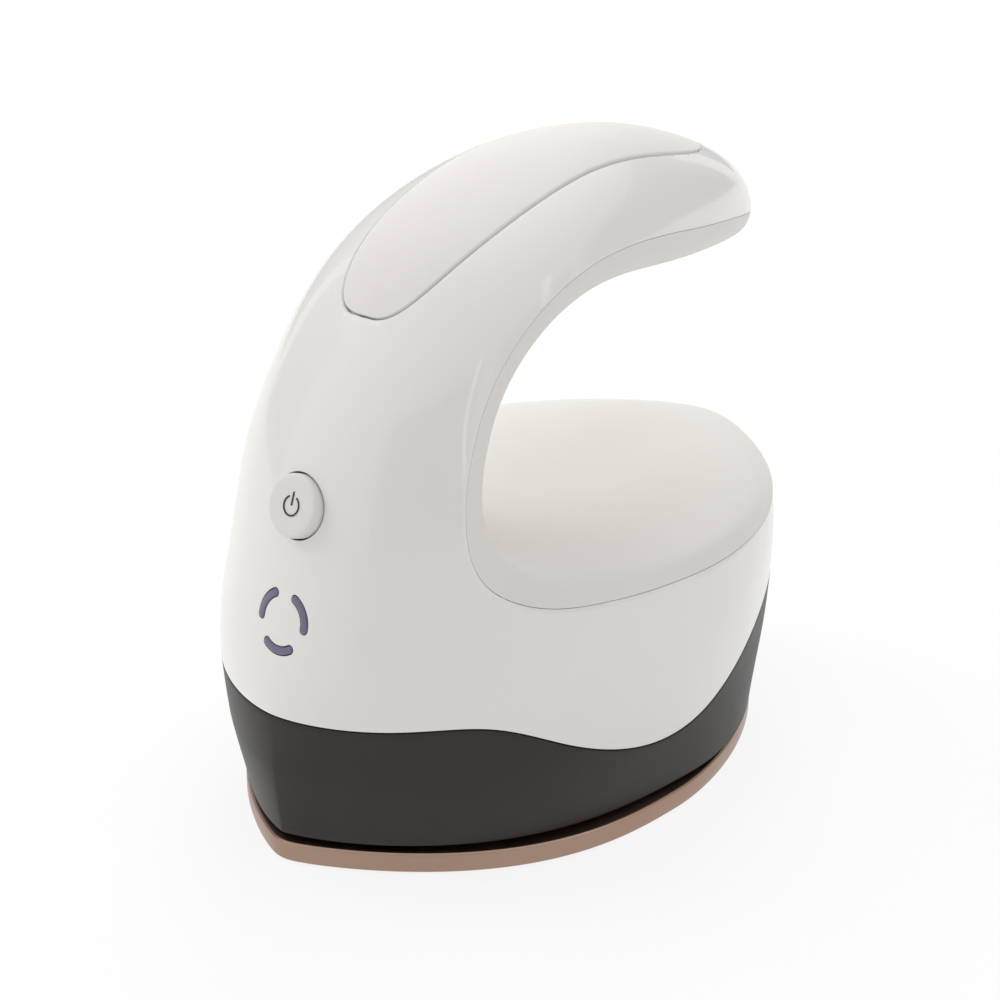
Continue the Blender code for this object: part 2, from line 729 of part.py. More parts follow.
def make_plate():
    rings = []
    for inset, height in (
        (PLATE_CHAMFER / 2, 0.0),
        (0.0, PLATE_CHAMFER / 2),
        (0.0, PLATE_THICKNESS - PLATE_CHAMFER),
        (PLATE_CHAMFER, PLATE_THICKNESS),
    ):
        rings.append([(x, y, height) for x, y in plate_outline(inset)])
    bm = bmesh.new()
    loft(bm, rings)
    plate = add("heat_plate", bm, ROSE_GOLD)
    sunk = PLATE_THICKNESS / 2
    for row, (x, y) in (("front", FRONT_BOSS), ("rear", REAR_BOSS)):
        for side, place in mirrored(x):
            boss = cylinder(f"boss_{row}_{side}", BOSS_RADIUS, sunk, FLOOR_BOTTOM - GAP, (place, y), steps=SMALL_STEPS)
            combine(plate, boss, "UNION")
            hole = cylinder(
                f"boss_hole_{row}_{side}", SCREW_HOLE_RADIUS, PLATE_THICKNESS, FLOOR_TOP, (place, y), steps=SMALL_STEPS
            )
            combine(plate, hole, "DIFFERENCE")
    for row, y in (("front", -CLAMP_SCREW_PLACE), ("rear", CLAMP_SCREW_PLACE)):
        boss = cylinder(f"clamp_boss_{row}", CLAMP_BOSS_RADIUS, sunk, CLAMP_BOTTOM - GAP, (0.0, y), steps=SMALL_STEPS)
        combine(plate, boss, "UNION")
        hole = cylinder(f"clamp_hole_{row}", SCREW_HOLE_RADIUS, PLATE_THICKNESS, CLAMP_TOP, (0.0, y), steps=SMALL_STEPS)
        combine(plate, hole, "DIFFERENCE")


def make_gasket():
    outer, inner = plate_outline(GASKET_INSET, RING_STEPS), plate_outline(GASKET_INSET + GASKET_WIDTH, RING_STEPS)
    ring_prism("plate_gasket", outer, inner, PLATE_THICKNESS + GAP, FOOT_HEIGHT - GAP, GASKET_BROWN)


def element_route():
    """The heating element's centre line: up at both rear ends, and round in a horseshoe between them."""
    side, bend = [], ELEMENT_BEND_RADIUS
    side.append((ELEMENT_HALF_SPREAD, ELEMENT_REAR_PLACE, TERMINAL_HEIGHT))
    for i in range(ELEMENT_BEND_STEPS + 1):
        turn = i / ELEMENT_BEND_STEPS * math.pi / 2
        y = ELEMENT_REAR_PLACE - bend + bend * math.cos(turn)
        z = ELEMENT_HEIGHT + bend - bend * math.sin(turn)
        side.append((ELEMENT_HALF_SPREAD, y, z))
    for i in range(ELEMENT_TURN_STEPS + 1):
        turn = i / ELEMENT_TURN_STEPS * math.pi / 2
        x = ELEMENT_HALF_SPREAD * math.cos(turn)
        side.append((x, ELEMENT_BEND_PLACE - ELEMENT_HALF_SPREAD * math.sin(turn), ELEMENT_HEIGHT))
    return side + [(-x, y, z) for x, y, z in side[-2::-1]]


def wire(name, points, radius, look, resolution=1):
    """A round wire along points, with closed ends."""
    curve = bpy.data.curves.new(name, "CURVE")
    curve.dimensions = "3D"
    curve.bevel_depth = radius
    curve.bevel_resolution = resolution
    curve.use_fill_caps = True
    spline = curve.splines.new("POLY")
    spline.points.add(len(points) - 1)
    for spot, point in zip(spline.points, points):
        spot.co = (*point, 1.0)
    curve.materials.append(look)
    obj = bpy.data.objects.new(name, curve)
    press.objects.link(obj)
    return obj


def make_heater():
    wire("heating_element", element_route(), ELEMENT_RADIUS, SHEET_STEEL, 1)
    clamp = box(
        "element_clamp",
        (-CLAMP_HALF_WIDTH, -CLAMP_FRONT, CLAMP_BOTTOM),
        (CLAMP_HALF_WIDTH, CLAMP_BACK, CLAMP_TOP),
        SHEET_STEEL,
    )
    for row, y in (("front", -CLAMP_SCREW_PLACE), ("rear", CLAMP_SCREW_PLACE)):
        hole = cylinder(
            f"clamp_sheet_hole_{row}", SCREW_HOLE_RADIUS, CLAMP_BOTTOM - OVERRUN, CLAMP_TOP + OVERRUN, (0.0, y),
            steps=SMALL_STEPS,
        )
        combine(clamp, hole, "DIFFERENCE")
        screw(f"clamp_screw_{row}", upright(0.0, y, CLAMP_TOP + GAP), CLAMP_TOP + GAP - PLATE_THICKNESS - GAP)
    foot = CLAMP_TOP + GAP
    flange, body = foot + THERMOSTAT_FLANGE, foot + THERMOSTAT_FLANGE + THERMOSTAT_HEIGHT
    turned(
        "thermostat",
        [(0, body), (THERMOSTAT_RADIUS, body), (THERMOSTAT_RADIUS, flange), (THERMOSTAT_FLANGE_RADIUS, flange),
         (THERMOSTAT_FLANGE_RADIUS, foot), (0, foot)],
        BLACK_PLASTIC,
        steps=ROUND_STEPS,
    )
    for name, radius, length, y, look in (
        ("thermal_fuse", FUSE_RADIUS, FUSE_LENGTH, FUSE_PLACE, CERAMIC),
        ("temperature_sensor", SENSOR_RADIUS, SENSOR_LENGTH, SENSOR_PLACE, BLACK_PLASTIC),
    ):
        lying = Matrix.Translation((0.0, y, foot + radius)) @ Matrix.Rotation(math.pi / 2, 4, "Y")
        framed(name, lying, look, lambda bm, r=radius, half=length / 2: post(bm, r, -half, half, (0.0, 0.0)))


def make_insulation():
    outline = plate_outline(INSULATION_INSET, RING_STEPS)
    layers = (
        ("insulation_pad", INSULATION_BOTTOM, INSULATION_TOP, MICA),
        ("heat_shield", SHIELD_BOTTOM, SHIELD_BOTTOM + SHIELD_THICKNESS, SHEET_STEEL),
    )
    low, high = INSULATION_BOTTOM - OVERRUN, SHIELD_BOTTOM + OVERRUN
    openings = [box("service_opening", (-SERVICE_HALF_WIDTH, -SERVICE_HALF_LENGTH, low),
                    (SERVICE_HALF_WIDTH, SERVICE_HALF_LENGTH, high))]
    for side in (-1, 1):
        for row, (x, y) in (("front", FRONT_BOSS), ("rear", REAR_BOSS)):
            openings.append(
                cylinder(f"boss_notch_{row}_{side}", BOSS_RADIUS + POCKET_CLEARANCE, low, high, (side * x, y),
                         steps=SMALL_STEPS)
            )
        openings.append(
            cylinder(f"terminal_opening_{side}", ELEMENT_RADIUS + POCKET_CLEARANCE, low, high,
                     (side * ELEMENT_HALF_SPREAD, ELEMENT_REAR_PLACE), steps=SMALL_STEPS)
        )
    for name, bottom, top, look in layers:
        sheet = prism(name, outline, bottom, top, look)
        for opening in openings:
            combine(sheet, opening, "DIFFERENCE")


def shell_screw_places():
    places = [("front", 0.0, FRONT_POST_PLACE)]
    places += [(side, x, SIDE_POST[1]) for side, x in mirrored(SIDE_POST[0])]
    places += [("rear_" + side, x, REAR_POST[1]) for side, x in mirrored(REAR_POST[0])]
    return places


def board_screw_places():
    half_width = POWER_BOARD_WIDTH / 2 - BOARD_SCREW_INSET
    half_length = POWER_BOARD_LENGTH / 2 - BOARD_SCREW_INSET
    return [
        (f"{row}_{side}", x, POWER_BOARD_PLACE + y)
        for row, y in (("front", -half_length), ("rear", half_length))
        for side, x in mirrored(half_width)
    ]


def along_y(place, height):
    """A frame whose axis runs towards the rear."""
    return Matrix.Translation((0.0, place, height)) @ Matrix.Rotation(-math.pi / 2, 4, "X")


def make_base():
    base = body_solid("base_shell", 0.0, look=DARK_SATIN)
    combine(base, wave_cutter("wave_high", -GAP / 2, True), "DIFFERENCE")
    combine(base, slab("base_inside", WALL, FLOOR_TOP, SHELL_POST_TOP), "DIFFERENCE")
    combine(base, slab("base_underside", WALL, FOOT_HEIGHT - OVERRUN, FLOOR_BOTTOM), "DIFFERENCE")
    root = FLOOR_BOTTOM + FLOOR_THICKNESS / 2
    for name, x, y in board_screw_places():
        stud = cylinder(f"board_post_{name}", BASE_POST_RADIUS, root, POWER_BOARD_HEIGHT - GAP, (x, y), steps=SMALL_STEPS)
        combine(base, stud, "UNION")
        hole = cylinder(f"board_post_hole_{name}", SCREW_RADIUS, FLOOR_TOP, POWER_BOARD_HEIGHT, (x, y), steps=SMALL_STEPS)
        combine(base, hole, "DIFFERENCE")
    saddle = box(
        "cord_saddle",
        (-CORD_CLAMP_HALF_WIDTH, CORD_CLAMP_PLACE - CORD_CLAMP_LENGTH / 2, root),
        (CORD_CLAMP_HALF_WIDTH, CORD_CLAMP_PLACE + CORD_CLAMP_LENGTH / 2, GLAND_HEIGHT - GAP),
    )
    combine(base, saddle, "UNION")
    combine(base, cord_bore("saddle_groove"), "DIFFERENCE")
    low, high = FLOOR_BOTTOM - OVERRUN, FLOOR_TOP + OVERRUN
    for name, x, y in shell_screw_places():
        combine(base, cylinder(f"shell_screw_hole_{name}", SCREW_HOLE_RADIUS, low, high, (x, y), steps=SMALL_STEPS),
                "DIFFERENCE")
    for row, (x, y) in (("front", FRONT_BOSS), ("rear", REAR_BOSS)):
        for side, place in mirrored(x):
            hole = cylinder(f"plate_screw_hole_{row}_{side}", SCREW_HOLE_RADIUS, low, high, (place, y), steps=SMALL_STEPS)
            combine(base, hole, "DIFFERENCE")
    for side, x in mirrored(ELEMENT_HALF_SPREAD):
        hole = cylinder(f"floor_terminal_hole_{side}", ELEMENT_RADIUS + GAP, low, high, (x, ELEMENT_REAR_PLACE),
                        steps=SMALL_STEPS)
        combine(base, hole, "DIFFERENCE")
    window = box("floor_service_opening", (-SERVICE_HALF_WIDTH, -SERVICE_HALF_LENGTH, low),
                 (SERVICE_HALF_WIDTH, SERVICE_HALF_LENGTH, high))
    combine(base, window, "DIFFERENCE")
    inlet = framed("inlet_hole", along_y(BACK_REACH, GLAND_HEIGHT), None,
                   lambda bm: cylinder_into(bm, GLAND_RADIUS + GAP, -GLAND_RADIUS * 4, OVERRUN))
    combine(base, inlet, "DIFFERENCE")
    for side, x in mirrored(CORD_CLAMP_SCREW_PLACE):
        hole = cylinder(f"saddle_hole_{side}", SCREW_RADIUS * SMALL_SCREW_SCALE_SHARE + GAP, FLOOR_TOP, GLAND_HEIGHT,
                        (x, CORD_CLAMP_PLACE), steps=SMALL_STEPS)
        combine(base, hole, "DIFFERENCE")


def cord_bore(name):
    half = CORD_CLAMP_LENGTH
    return framed(name, along_y(CORD_CLAMP_PLACE, GLAND_HEIGHT), None,
                  lambda bm: cylinder_into(bm, GLAND_BORE_RADIUS, -half, half))


def make_inlet():
    wall_place = section(GLAND_HEIGHT + GLAND_FLANGE_RADIUS)[2]
    start, flange = wall_place + GAP, wall_place + GAP + GLAND_FLANGE
    inside = section(GLAND_HEIGHT)[2] - WALL - GLAND_INSIDE
    lip = GLAND_FLANGE / 2
    profile = [
        (GLAND_BORE_RADIUS, inside), (GLAND_BORE_RADIUS, flange), (GLAND_FLANGE_RADIUS - lip, flange),
        (GLAND_FLANGE_RADIUS, flange - lip), (GLAND_FLANGE_RADIUS, start), (GLAND_RADIUS, start),
        (GLAND_RADIUS, inside), (GLAND_BORE_RADIUS, inside),
    ]
    turned("cord_gland", profile, BLACK_PLASTIC, along_y(0.0, GLAND_HEIGHT), ROUND_STEPS)
    bar = box(
        "cord_clamp",
        (-CORD_CLAMP_HALF_WIDTH, CORD_CLAMP_PLACE - CORD_CLAMP_LENGTH / 2, GLAND_HEIGHT),
        (CORD_CLAMP_HALF_WIDTH, CORD_CLAMP_PLACE + CORD_CLAMP_LENGTH / 2, GLAND_HEIGHT + CORD_CLAMP_RISE),
        BLACK_PLASTIC,
    )
    combine(bar, cord_bore("clamp_groove"), "DIFFERENCE")
    radius = SCREW_RADIUS * SMALL_SCREW_SCALE_SHARE
    for side, x in mirrored(CORD_CLAMP_SCREW_PLACE):
        hole = cylinder(f"clamp_bar_hole_{side}", radius + GAP, GLAND_HEIGHT - OVERRUN,
                        GLAND_HEIGHT + CORD_CLAMP_RISE + OVERRUN, (x, CORD_CLAMP_PLACE), steps=SMALL_STEPS)
        combine(bar, hole, "DIFFERENCE")
        screw(f"cord_clamp_screw_{side}", upright(x, CORD_CLAMP_PLACE, GLAND_HEIGHT + CORD_CLAMP_RISE + GAP),
              CORD_CLAMP_RISE * 2, SMALL_SCREW_SCALE_SHARE)


def make_plate_screws():
    for row, (x, y) in (("front", FRONT_BOSS), ("rear", REAR_BOSS)):
        for side, place in mirrored(x):
            screw(f"plate_screw_{row}_{side}", upright(place, y, FLOOR_TOP + GAP), FLOOR_TOP - PLATE_THICKNESS - GAP)
    for name, x, y in shell_screw_places():
        screw(f"shell_screw_{name}", upright(x, y, FLOOR_BOTTOM - GAP, True), SHELL_SCREW_LENGTH)
    for side, x in mirrored(ELEMENT_HALF_SPREAD):
        inner, outer = ELEMENT_RADIUS + GAP, ELEMENT_RADIUS + GAP + BEAD_WALL
        low, high = FLOOR_TOP + GAP, FLOOR_TOP + GAP + BEAD_HEIGHT
        profile = [(inner, low), (inner, high), (outer, high), (outer, low), (inner, low)]
        turned(f"terminal_bead_{side}", profile, CERAMIC, Matrix.Translation((x, ELEMENT_REAR_PLACE, 0.0)))


def make_shell():
    shell = body_solid("outer_shell", 0.0, look=GLOSS_WHITE)
    combine(shell, body_solid("shell_inside", WALL, OVERRUN), "DIFFERENCE")
    combine(shell, seam_cutter(), "DIFFERENCE")
    combine(shell, wave_cutter("wave_low", GAP / 2, False), "DIFFERENCE")
    foot = FLOOR_TOP + GAP
    for name, x, y in shell_screw_places():
        top = FRONT_POST_TOP if name == "front" else SHELL_POST_TOP
        combine(shell, cylinder(f"shell_post_{name}", SHELL_POST_RADIUS, foot, top, (x, y), steps=SMALL_STEPS), "UNION")
        low = FRONT_WEB_BOTTOM if name == "front" else WEB_BOTTOM
        if name == "front":
            corners = (-POST_WEB, section(low)[0] + WALL / 2, low), (POST_WEB, y, top - GAP)
        else:
            reach = width_at(y, low) - WALL / 2
            corners = (min(x, math.copysign(reach, x)), y - POST_WEB, low), (
                max(x, math.copysign(reach, x)), y + POST_WEB, top - GAP)
        combine(shell, box(f"shell_web_{name}", *corners), "UNION")
        hole = cylinder(f"shell_post_hole_{name}", SCREW_HOLE_RADIUS, foot - OVERRUN,
                        FLOOR_BOTTOM + SHELL_SCREW_LENGTH + GAP, (x, y), steps=SMALL_STEPS)
        combine(shell, hole, "DIFFERENCE")
    for name, x, y, root in control_posts():
        stud = framed(f"control_post_{name}", BUTTON_FRAME, None,
                      lambda bm, c=(x, y), top=-root: post(bm, CONTROL_POST_RADIUS, GAP - CONTROL_DEPTH, top, c))
        combine(shell, stud, "UNION")
        radius, tip = SCREW_RADIUS * SMALL_SCREW_SCALE_SHARE + GAP, CONTROL_SCREW_LENGTH - CONTROL_DEPTH - BOARD_THICKNESS
        hole = framed(f"control_post_hole_{name}", BUTTON_FRAME, None,
                      lambda bm, c=(x, y): post(bm, radius, -CONTROL_DEPTH, tip, c))
        combine(shell, hole, "DIFFERENCE")
    pocket = prism("pad_pocket", pad_outline(GAP / 2), PAD_CUT_HEIGHT, BODY_HEIGHT + OVERRUN)
    combine(pocket, body_solid("pocket_floor", PAD_POCKET), "DIFFERENCE")
    combine(shell, pocket, "DIFFERENCE")
    hole = framed("button_hole", BUTTON_FRAME, None,
                  lambda bm: cylinder_into(bm, BUTTON_RADIUS + GAP, -FLANGE_DEPTH, OVERRUN))
    combine(shell, hole, "DIFFERENCE")
    for name, angle in WINDOW_ANGLES.items():
        combine(shell, window_prism(f"window_hole_{name}", angle, GAP, -WINDOW_DEPTH - GAP, WINDOW_CUT), "DIFFERENCE")


def make_liner():
    liner = liner_form("inner_liner", 0.0, 0.0, MATTE_WHITE)
    combine(liner, liner_form("liner_inside", LINER_WALL, OVERRUN), "DIFFERENCE")
    table = np.array(SEAM_SHARES)[-5:]
    for place in HOOK_PLACES:
        seam = float(np.interp(place, table[:, 0] * BACK_REACH, table[:, 1] * BODY_HEIGHT))
        ends = [(place + side * HOOK_LENGTH / 2, seam + rise) for side in (-1, 1) for rise in (-HOOK_DROP, HOOK_RISE)]
        outer = min(width_at(y, z) for y, z in ends) - WALL - HOOK_CLEARANCE
        for side, sign in (("left", -1), ("right", 1)):
            xs = sorted((sign * outer, sign * (outer - HOOK_THICKNESS)))
            hook = box(f"hook_{side}_{HOOK_PLACES.index(place)}", (xs[0], place - HOOK_LENGTH / 2, seam - HOOK_DROP),
                       (xs[1], place + HOOK_LENGTH / 2, seam + HOOK_RISE))
            combine(liner, hook, "UNION")


def make_pad():
    pad = prism("grip_pad", pad_outline(-GAP / 2), PAD_CUT_HEIGHT, BODY_HEIGHT + OVERRUN, SOFT_WHITE)
    combine(pad, body_solid("pad_face", 0.0), "INTERSECT")
    combine(pad, body_solid("pad_back", PAD_POCKET - GAP), "DIFFERENCE")


def make_button():
    edge = BUTTON_EDGE
    flange, stem = -FLANGE_DEPTH - FLANGE_THICKNESS, -FLANGE_DEPTH - FLANGE_THICKNESS - STEM_LENGTH
    profile = [
        (0, BUTTON_PROUD), (BUTTON_RADIUS - edge, BUTTON_PROUD), (BUTTON_RADIUS, BUTTON_PROUD - edge),
        (BUTTON_RADIUS, -FLANGE_DEPTH), (FLANGE_RADIUS, -FLANGE_DEPTH), (FLANGE_RADIUS, flange),
        (STEM_RADIUS, flange), (STEM_RADIUS, stem), (0, stem),
    ]
    turned("power_button", profile, MATTE_WHITE, BUTTON_FRAME, 32)
    top = stem - PLUNGER_GAP
    profile = [(0, top), (PLUNGER_RADIUS, top), (PLUNGER_RADIUS, top - PLUNGER_LENGTH), (0, top - PLUNGER_LENGTH)]
    turned("switch_plunger", profile, BLACK_PLASTIC, BUTTON_FRAME)
    half = SWITCH_SIDE / 2
    low, high = GAP - CONTROL_DEPTH, GAP - CONTROL_DEPTH + SWITCH_THICKNESS
    body = framed("tact_switch", BUTTON_FRAME, BLACK_STEEL, lambda bm: box_into(bm, (-half, -half, low), (half, half, high)))
    bore = framed("plunger_bore", BUTTON_FRAME, None,
                  lambda bm: post(bm, PLUNGER_RADIUS + GAP, high - PLUNGER_BORE_DEPTH, high + OVERRUN, (0.0, 0.0)))
    combine(body, bore, "DIFFERENCE")


def control_posts():
    """Names, places across and up the control board, and depths of the posts that carry it."""
    x = CONTROL_WIDTH / 2 - CONTROL_POST_INSET
    rows = (
        ("low", CONTROL_POST_INSET - CONTROL_BELOW, CONTROL_POST_LOW_ROOT),
        ("high", CONTROL_ABOVE - CONTROL_POST_INSET, CONTROL_POST_HIGH_ROOT),
    )
    return [(f"{row}_{side}", place, y, root) for row, y, root in rows for side, place in mirrored(x)]


def make_control_board():
    half = CONTROL_WIDTH / 2
    back, front = -CONTROL_DEPTH - BOARD_THICKNESS, -CONTROL_DEPTH
    board = framed("control_board", BUTTON_FRAME, BOARD_GREEN,
                   lambda bm: box_into(bm, (-half, -CONTROL_BELOW, back), (half, CONTROL_ABOVE, front)))
    radius = SCREW_RADIUS * SMALL_SCREW_SCALE_SHARE
    for name, x, y, _ in control_posts():
        hole = framed(f"control_hole_{name}", BUTTON_FRAME, None,
                      lambda bm, c=(x, y): post(bm, radius + GAP, back - OVERRUN, front + OVERRUN, c))
        combine(board, hole, "DIFFERENCE")
        spot = BUTTON_FRAME @ upright(x, y, back - GAP, True)
        screw(f"control_screw_{name}", spot, CONTROL_SCREW_LENGTH, SMALL_SCREW_SCALE_SHARE)
    middle = (BUTTON_FRAME.inverted() @ WINDOW_FRAME).translation
    for name, angle in WINDOW_ANGLES.items():
        x, y = WINDOW_RADIUS * math.cos(angle), middle.y + WINDOW_RADIUS * math.sin(angle)
        reach = LED_WIDTH / 2
        framed(f"indicator_led_{name}", BUTTON_FRAME, CERAMIC,
               lambda bm, x=x, y=y: box_into(bm, (x - reach, y - reach, front + GAP),
                                             (x + reach, y + reach, front + GAP + LED_THICKNESS)))


def make_windows():
    for name, angle in WINDOW_ANGLES.items():
        lens = window_prism(f"light_window_{name}", angle, 0.0, -WINDOW_DEPTH, WINDOW_CUT, LENS_VIOLET)
        combine(lens, body_solid(f"lens_face_{name}", 0.0), "INTERSECT")
    low, high = -GUIDE_DEPTH - GUIDE_LENGTH, -GUIDE_DEPTH
    profile = [(GUIDE_INNER_RADIUS, low), (GUIDE_INNER_RADIUS, high), (GUIDE_OUTER_RADIUS, high),
               (GUIDE_OUTER_RADIUS, low), (GUIDE_INNER_RADIUS, low)]
    turned("light_guide", profile, CLEAR_GUIDE, WINDOW_FRAME, ROUND_STEPS)


def make_power_board():
    half_width, half_length = POWER_BOARD_WIDTH / 2, POWER_BOARD_LENGTH / 2
    bottom, top = POWER_BOARD_HEIGHT, POWER_BOARD_HEIGHT + BOARD_THICKNESS
    front, rear = POWER_BOARD_PLACE - half_length, POWER_BOARD_PLACE + half_length
    board = box("power_board", (-half_width, front, bottom), (half_width, rear, top), BOARD_GREEN)
    for name, x, y in board_screw_places():
        hole = cylinder(f"power_board_hole_{name}", SCREW_RADIUS + GAP, bottom - OVERRUN, top + OVERRUN, (x, y),
                        steps=SMALL_STEPS)
        combine(board, hole, "DIFFERENCE")
        screw(f"board_screw_{name}", upright(x, y, top + GAP), BOARD_SCREW_LENGTH, SMALL_SCREW_SCALE_SHARE)
    seat = top + GAP
    inner = BOARD_SCREW_INSET + SCREW_HEAD_RADIUS + PART_SPACING
    left, low = -half_width + inner, front + inner / 2
    width, length, height = RELAY_SIZE
    box("relay", (left, low, seat), (left + width, low + length, seat + height), BLUE_PLASTIC)
    right = half_width - inner
    width, length, height = TRANSFORMER_SIZE
    box("transformer", (right - width, low, seat), (right, low + length, seat + height), YELLOW_TAPE)
    width, length, height = TERMINAL_SIZE
    box("terminal_block", (-width / 2, rear - length, seat), (width / 2, rear, seat + height), BOARD_GREEN)
    cylinder("capacitor", CAPACITOR_RADIUS, seat, seat + CAPACITOR_HEIGHT,
             (right - CAPACITOR_RADIUS, low + TRANSFORMER_SIZE[1] + PART_SPACING + CAPACITOR_RADIUS), BLACK_PLASTIC,
             SMALL_STEPS)


def bend_through(points, steps):
    """A smooth route through a few points."""
    table = np.array(points)
    run = np.append(0.0, np.cumsum(np.linalg.norm(np.diff(table, axis=0), axis=1)))
    even = np.linspace(0.0, run[-1], steps)
    return np.stack([smooth_curve(run, table[:, i])(even) for i in range(3)], -1)


def make_leads():
    """Leads from the terminal block's ends to the heating element's ends, and the ribbon between the two boards."""
    block_rear = POWER_BOARD_PLACE + POWER_BOARD_LENGTH / 2
    level = POWER_BOARD_HEIGHT + BOARD_THICKNESS + TERMINAL_SIZE[2] / 2
    for name, side, look in (("element_lead_live", -1, LEAD_RED), ("element_lead_neutral", 1, LEAD_BLUE)):
        x = side * TERMINAL_SIZE[0] / 4
        end = side * ELEMENT_HALF_SPREAD
        slack = LEAD_RADIUS * 4
        route = [
            (x, block_rear + GAP, level),
            (x, block_rear + slack, level),
            (end, ELEMENT_REAR_PLACE, level),
            (end, ELEMENT_REAR_PLACE, TERMINAL_HEIGHT + GAP),
        ]
        wire(name, bend_through(route, LEAD_STEPS), LEAD_RADIUS, look, 1)
    low = BUTTON_FRAME @ Vector((0.0, -CONTROL_BELOW + RIBBON_SEAT, -CONTROL_DEPTH - BOARD_THICKNESS - GAP))
    plug_end = (0.0, POWER_BOARD_PLACE - POWER_BOARD_LENGTH / 2 + RIBBON_FOOT, POWER_BOARD_HEIGHT + BOARD_THICKNESS + GAP)
    away = BUTTON_FRAME.to_3x3() @ Vector((0.0, 0.0, -RIBBON_SEAT))
    route = bend_through([low, low + away, (0.0, plug_end[1], plug_end[2] + RIBBON_SEAT), plug_end], RIBBON_STEPS)
    along = np.gradient(route, axis=0)
    along /= np.linalg.norm(along, axis=1)[:, None]
    across = np.stack([np.zeros(len(along)), -along[:, 2], along[:, 1]], -1) * RIBBON_THICKNESS / 2
    half = Vector((RIBBON_WIDTH / 2, 0.0, 0.0))
    rings = []
    for spot, side in zip(route, across):
        spot, side = Vector(spot), Vector(side)
        rings.append([spot - half - side, spot + half - side, spot + half + side, spot - half + side])
    bm = bmesh.new()
    loft(bm, rings)
    add("ribbon_cable", bm, RIBBON_GREY)


make_plate()
make_gasket()
make_heater()
make_insulation()
make_base()
make_inlet()
make_plate_screws()
make_shell()
make_liner()
make_pad()
make_button()
make_control_board()
make_windows()
make_power_board()
make_leads()
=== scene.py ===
"""Visual model of a mini handheld heat press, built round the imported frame. Metres, +Z up, nose to -Y."""

import math

import bmesh
import bpy
import numpy as np
from mathutils import Matrix, Vector


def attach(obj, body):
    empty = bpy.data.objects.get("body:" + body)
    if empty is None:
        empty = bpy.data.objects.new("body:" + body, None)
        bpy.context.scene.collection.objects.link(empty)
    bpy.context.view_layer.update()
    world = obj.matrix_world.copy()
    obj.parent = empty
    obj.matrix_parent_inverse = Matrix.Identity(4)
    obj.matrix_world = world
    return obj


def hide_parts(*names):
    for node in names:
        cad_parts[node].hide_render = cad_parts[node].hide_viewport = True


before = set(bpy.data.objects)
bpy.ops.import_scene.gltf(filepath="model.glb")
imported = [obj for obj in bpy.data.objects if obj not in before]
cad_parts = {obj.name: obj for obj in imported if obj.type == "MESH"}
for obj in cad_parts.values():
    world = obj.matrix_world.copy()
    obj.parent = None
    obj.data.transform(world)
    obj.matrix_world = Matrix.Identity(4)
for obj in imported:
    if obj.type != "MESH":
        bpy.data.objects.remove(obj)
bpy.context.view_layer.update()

# Sole plate
PLATE_LENGTH = 0.105
PLATE_WIDTH = 0.072
PLATE_THICKNESS = 0.0034
PLATE_CHAMFER = 0.0006
PLATE_NOSE_EASE = 0.0005
FRONT_POWER = 2.6
NOSE_POWER = 0.85
TAIL_POWER = 1.7

# Body, from its foot to its top
FOOT_HEIGHT = 0.0046
FOOT_FRONT_POWER = 2.9
FOOT_NOSE_POWER = 0.76
BODY_HEIGHT = 0.1009
FRONT_REACH = 0.0535
BACK_REACH = 0.0598
BODY_WIDTH = 0.076
ROUND_NOSE_HEIGHT = 0.0385
ROUND_NOSE_POWER = 2.1
WIDEST_EASE = 0.25

# Sections of the body: height, front, half-width, back and widest place, the last as a share of the front reach
SECTION_SHARES = (
    (0.0446, 0.973, 0.926, 0.835, 0.097),
    (0.1586, 1.000, 0.968, 0.933, -0.018),
    (0.2676, 0.998, 1.000, 0.920, 0.028),
    (0.3964, 0.946, 0.972, 0.925, 0.046),
    (0.5649, 0.871, 0.774, 0.980, -0.271),
    (0.6937, 0.776, 0.629, 0.980, -0.370),
    (0.8028, 0.630, 0.576, 1.000, -0.280),
    (0.8920, 0.447, 0.524, 0.861, -0.050),
    (0.9514, 0.206, 0.397, 0.644, 0.110),
)
CROWN_PLACE_SHARE = 0.25
CROWN_TOP = 0.1008

# Walls and clearances
WALL = 0.0024
LINER_WALL = 0.0022
GAP = 0.0003
RIM_ROUND = 0.00035
MERGE_DISTANCE = 0.00002
NARROWEST = 0.00001
BOX_EASE = 0.00002

# Seam between the glossy shell and the soft liner, in side view from the grip's tip to the rear of the deck:
# place, height, how far the liner swells over it, and how square that swell is
SEAM_SHARES = (
    (1.010, 0.780, 0.30, 2.4),
    (0.763, 0.815, 0.31, 2.4),
    (0.455, 0.849, 0.32, 2.4),
    (0.100, 0.877, 0.32, 2.4),
    (-0.176, 0.857, 0.33, 2.4),
    (-0.400, 0.777, 0.35, 2.4),
    (-0.540, 0.658, 0.36, 2.5),
    (-0.595, 0.540, 0.31, 3.2),
    (-0.570, 0.468, 0.23, 4.8),
    (-0.480, 0.430, 0.17, 6.5),
    (-0.330, 0.413, 0.142, 7.0),
    (-0.080, 0.404, 0.12, 6.0),
    (0.330, 0.395, 0.16, 4.0),
    (0.700, 0.386, 0.25, 2.2),
    (0.962, 0.380, 0.26, 1.9),
)
COLUMN_CORNER_HEIGHT = 0.046
CORNER_BLEND = 0.005

# Wavy line where the dark base shell meets the glossy shell
WAVE_SHARES = (
    (-1.300, 0.253),
    (-0.780, 0.253),
    (-0.600, 0.252),
    (-0.420, 0.204),
    (-0.250, 0.163),
    (-0.060, 0.143),
    (0.130, 0.160),
    (0.300, 0.200),
    (0.480, 0.252),
    (0.700, 0.278),
    (1.300, 0.282),
)

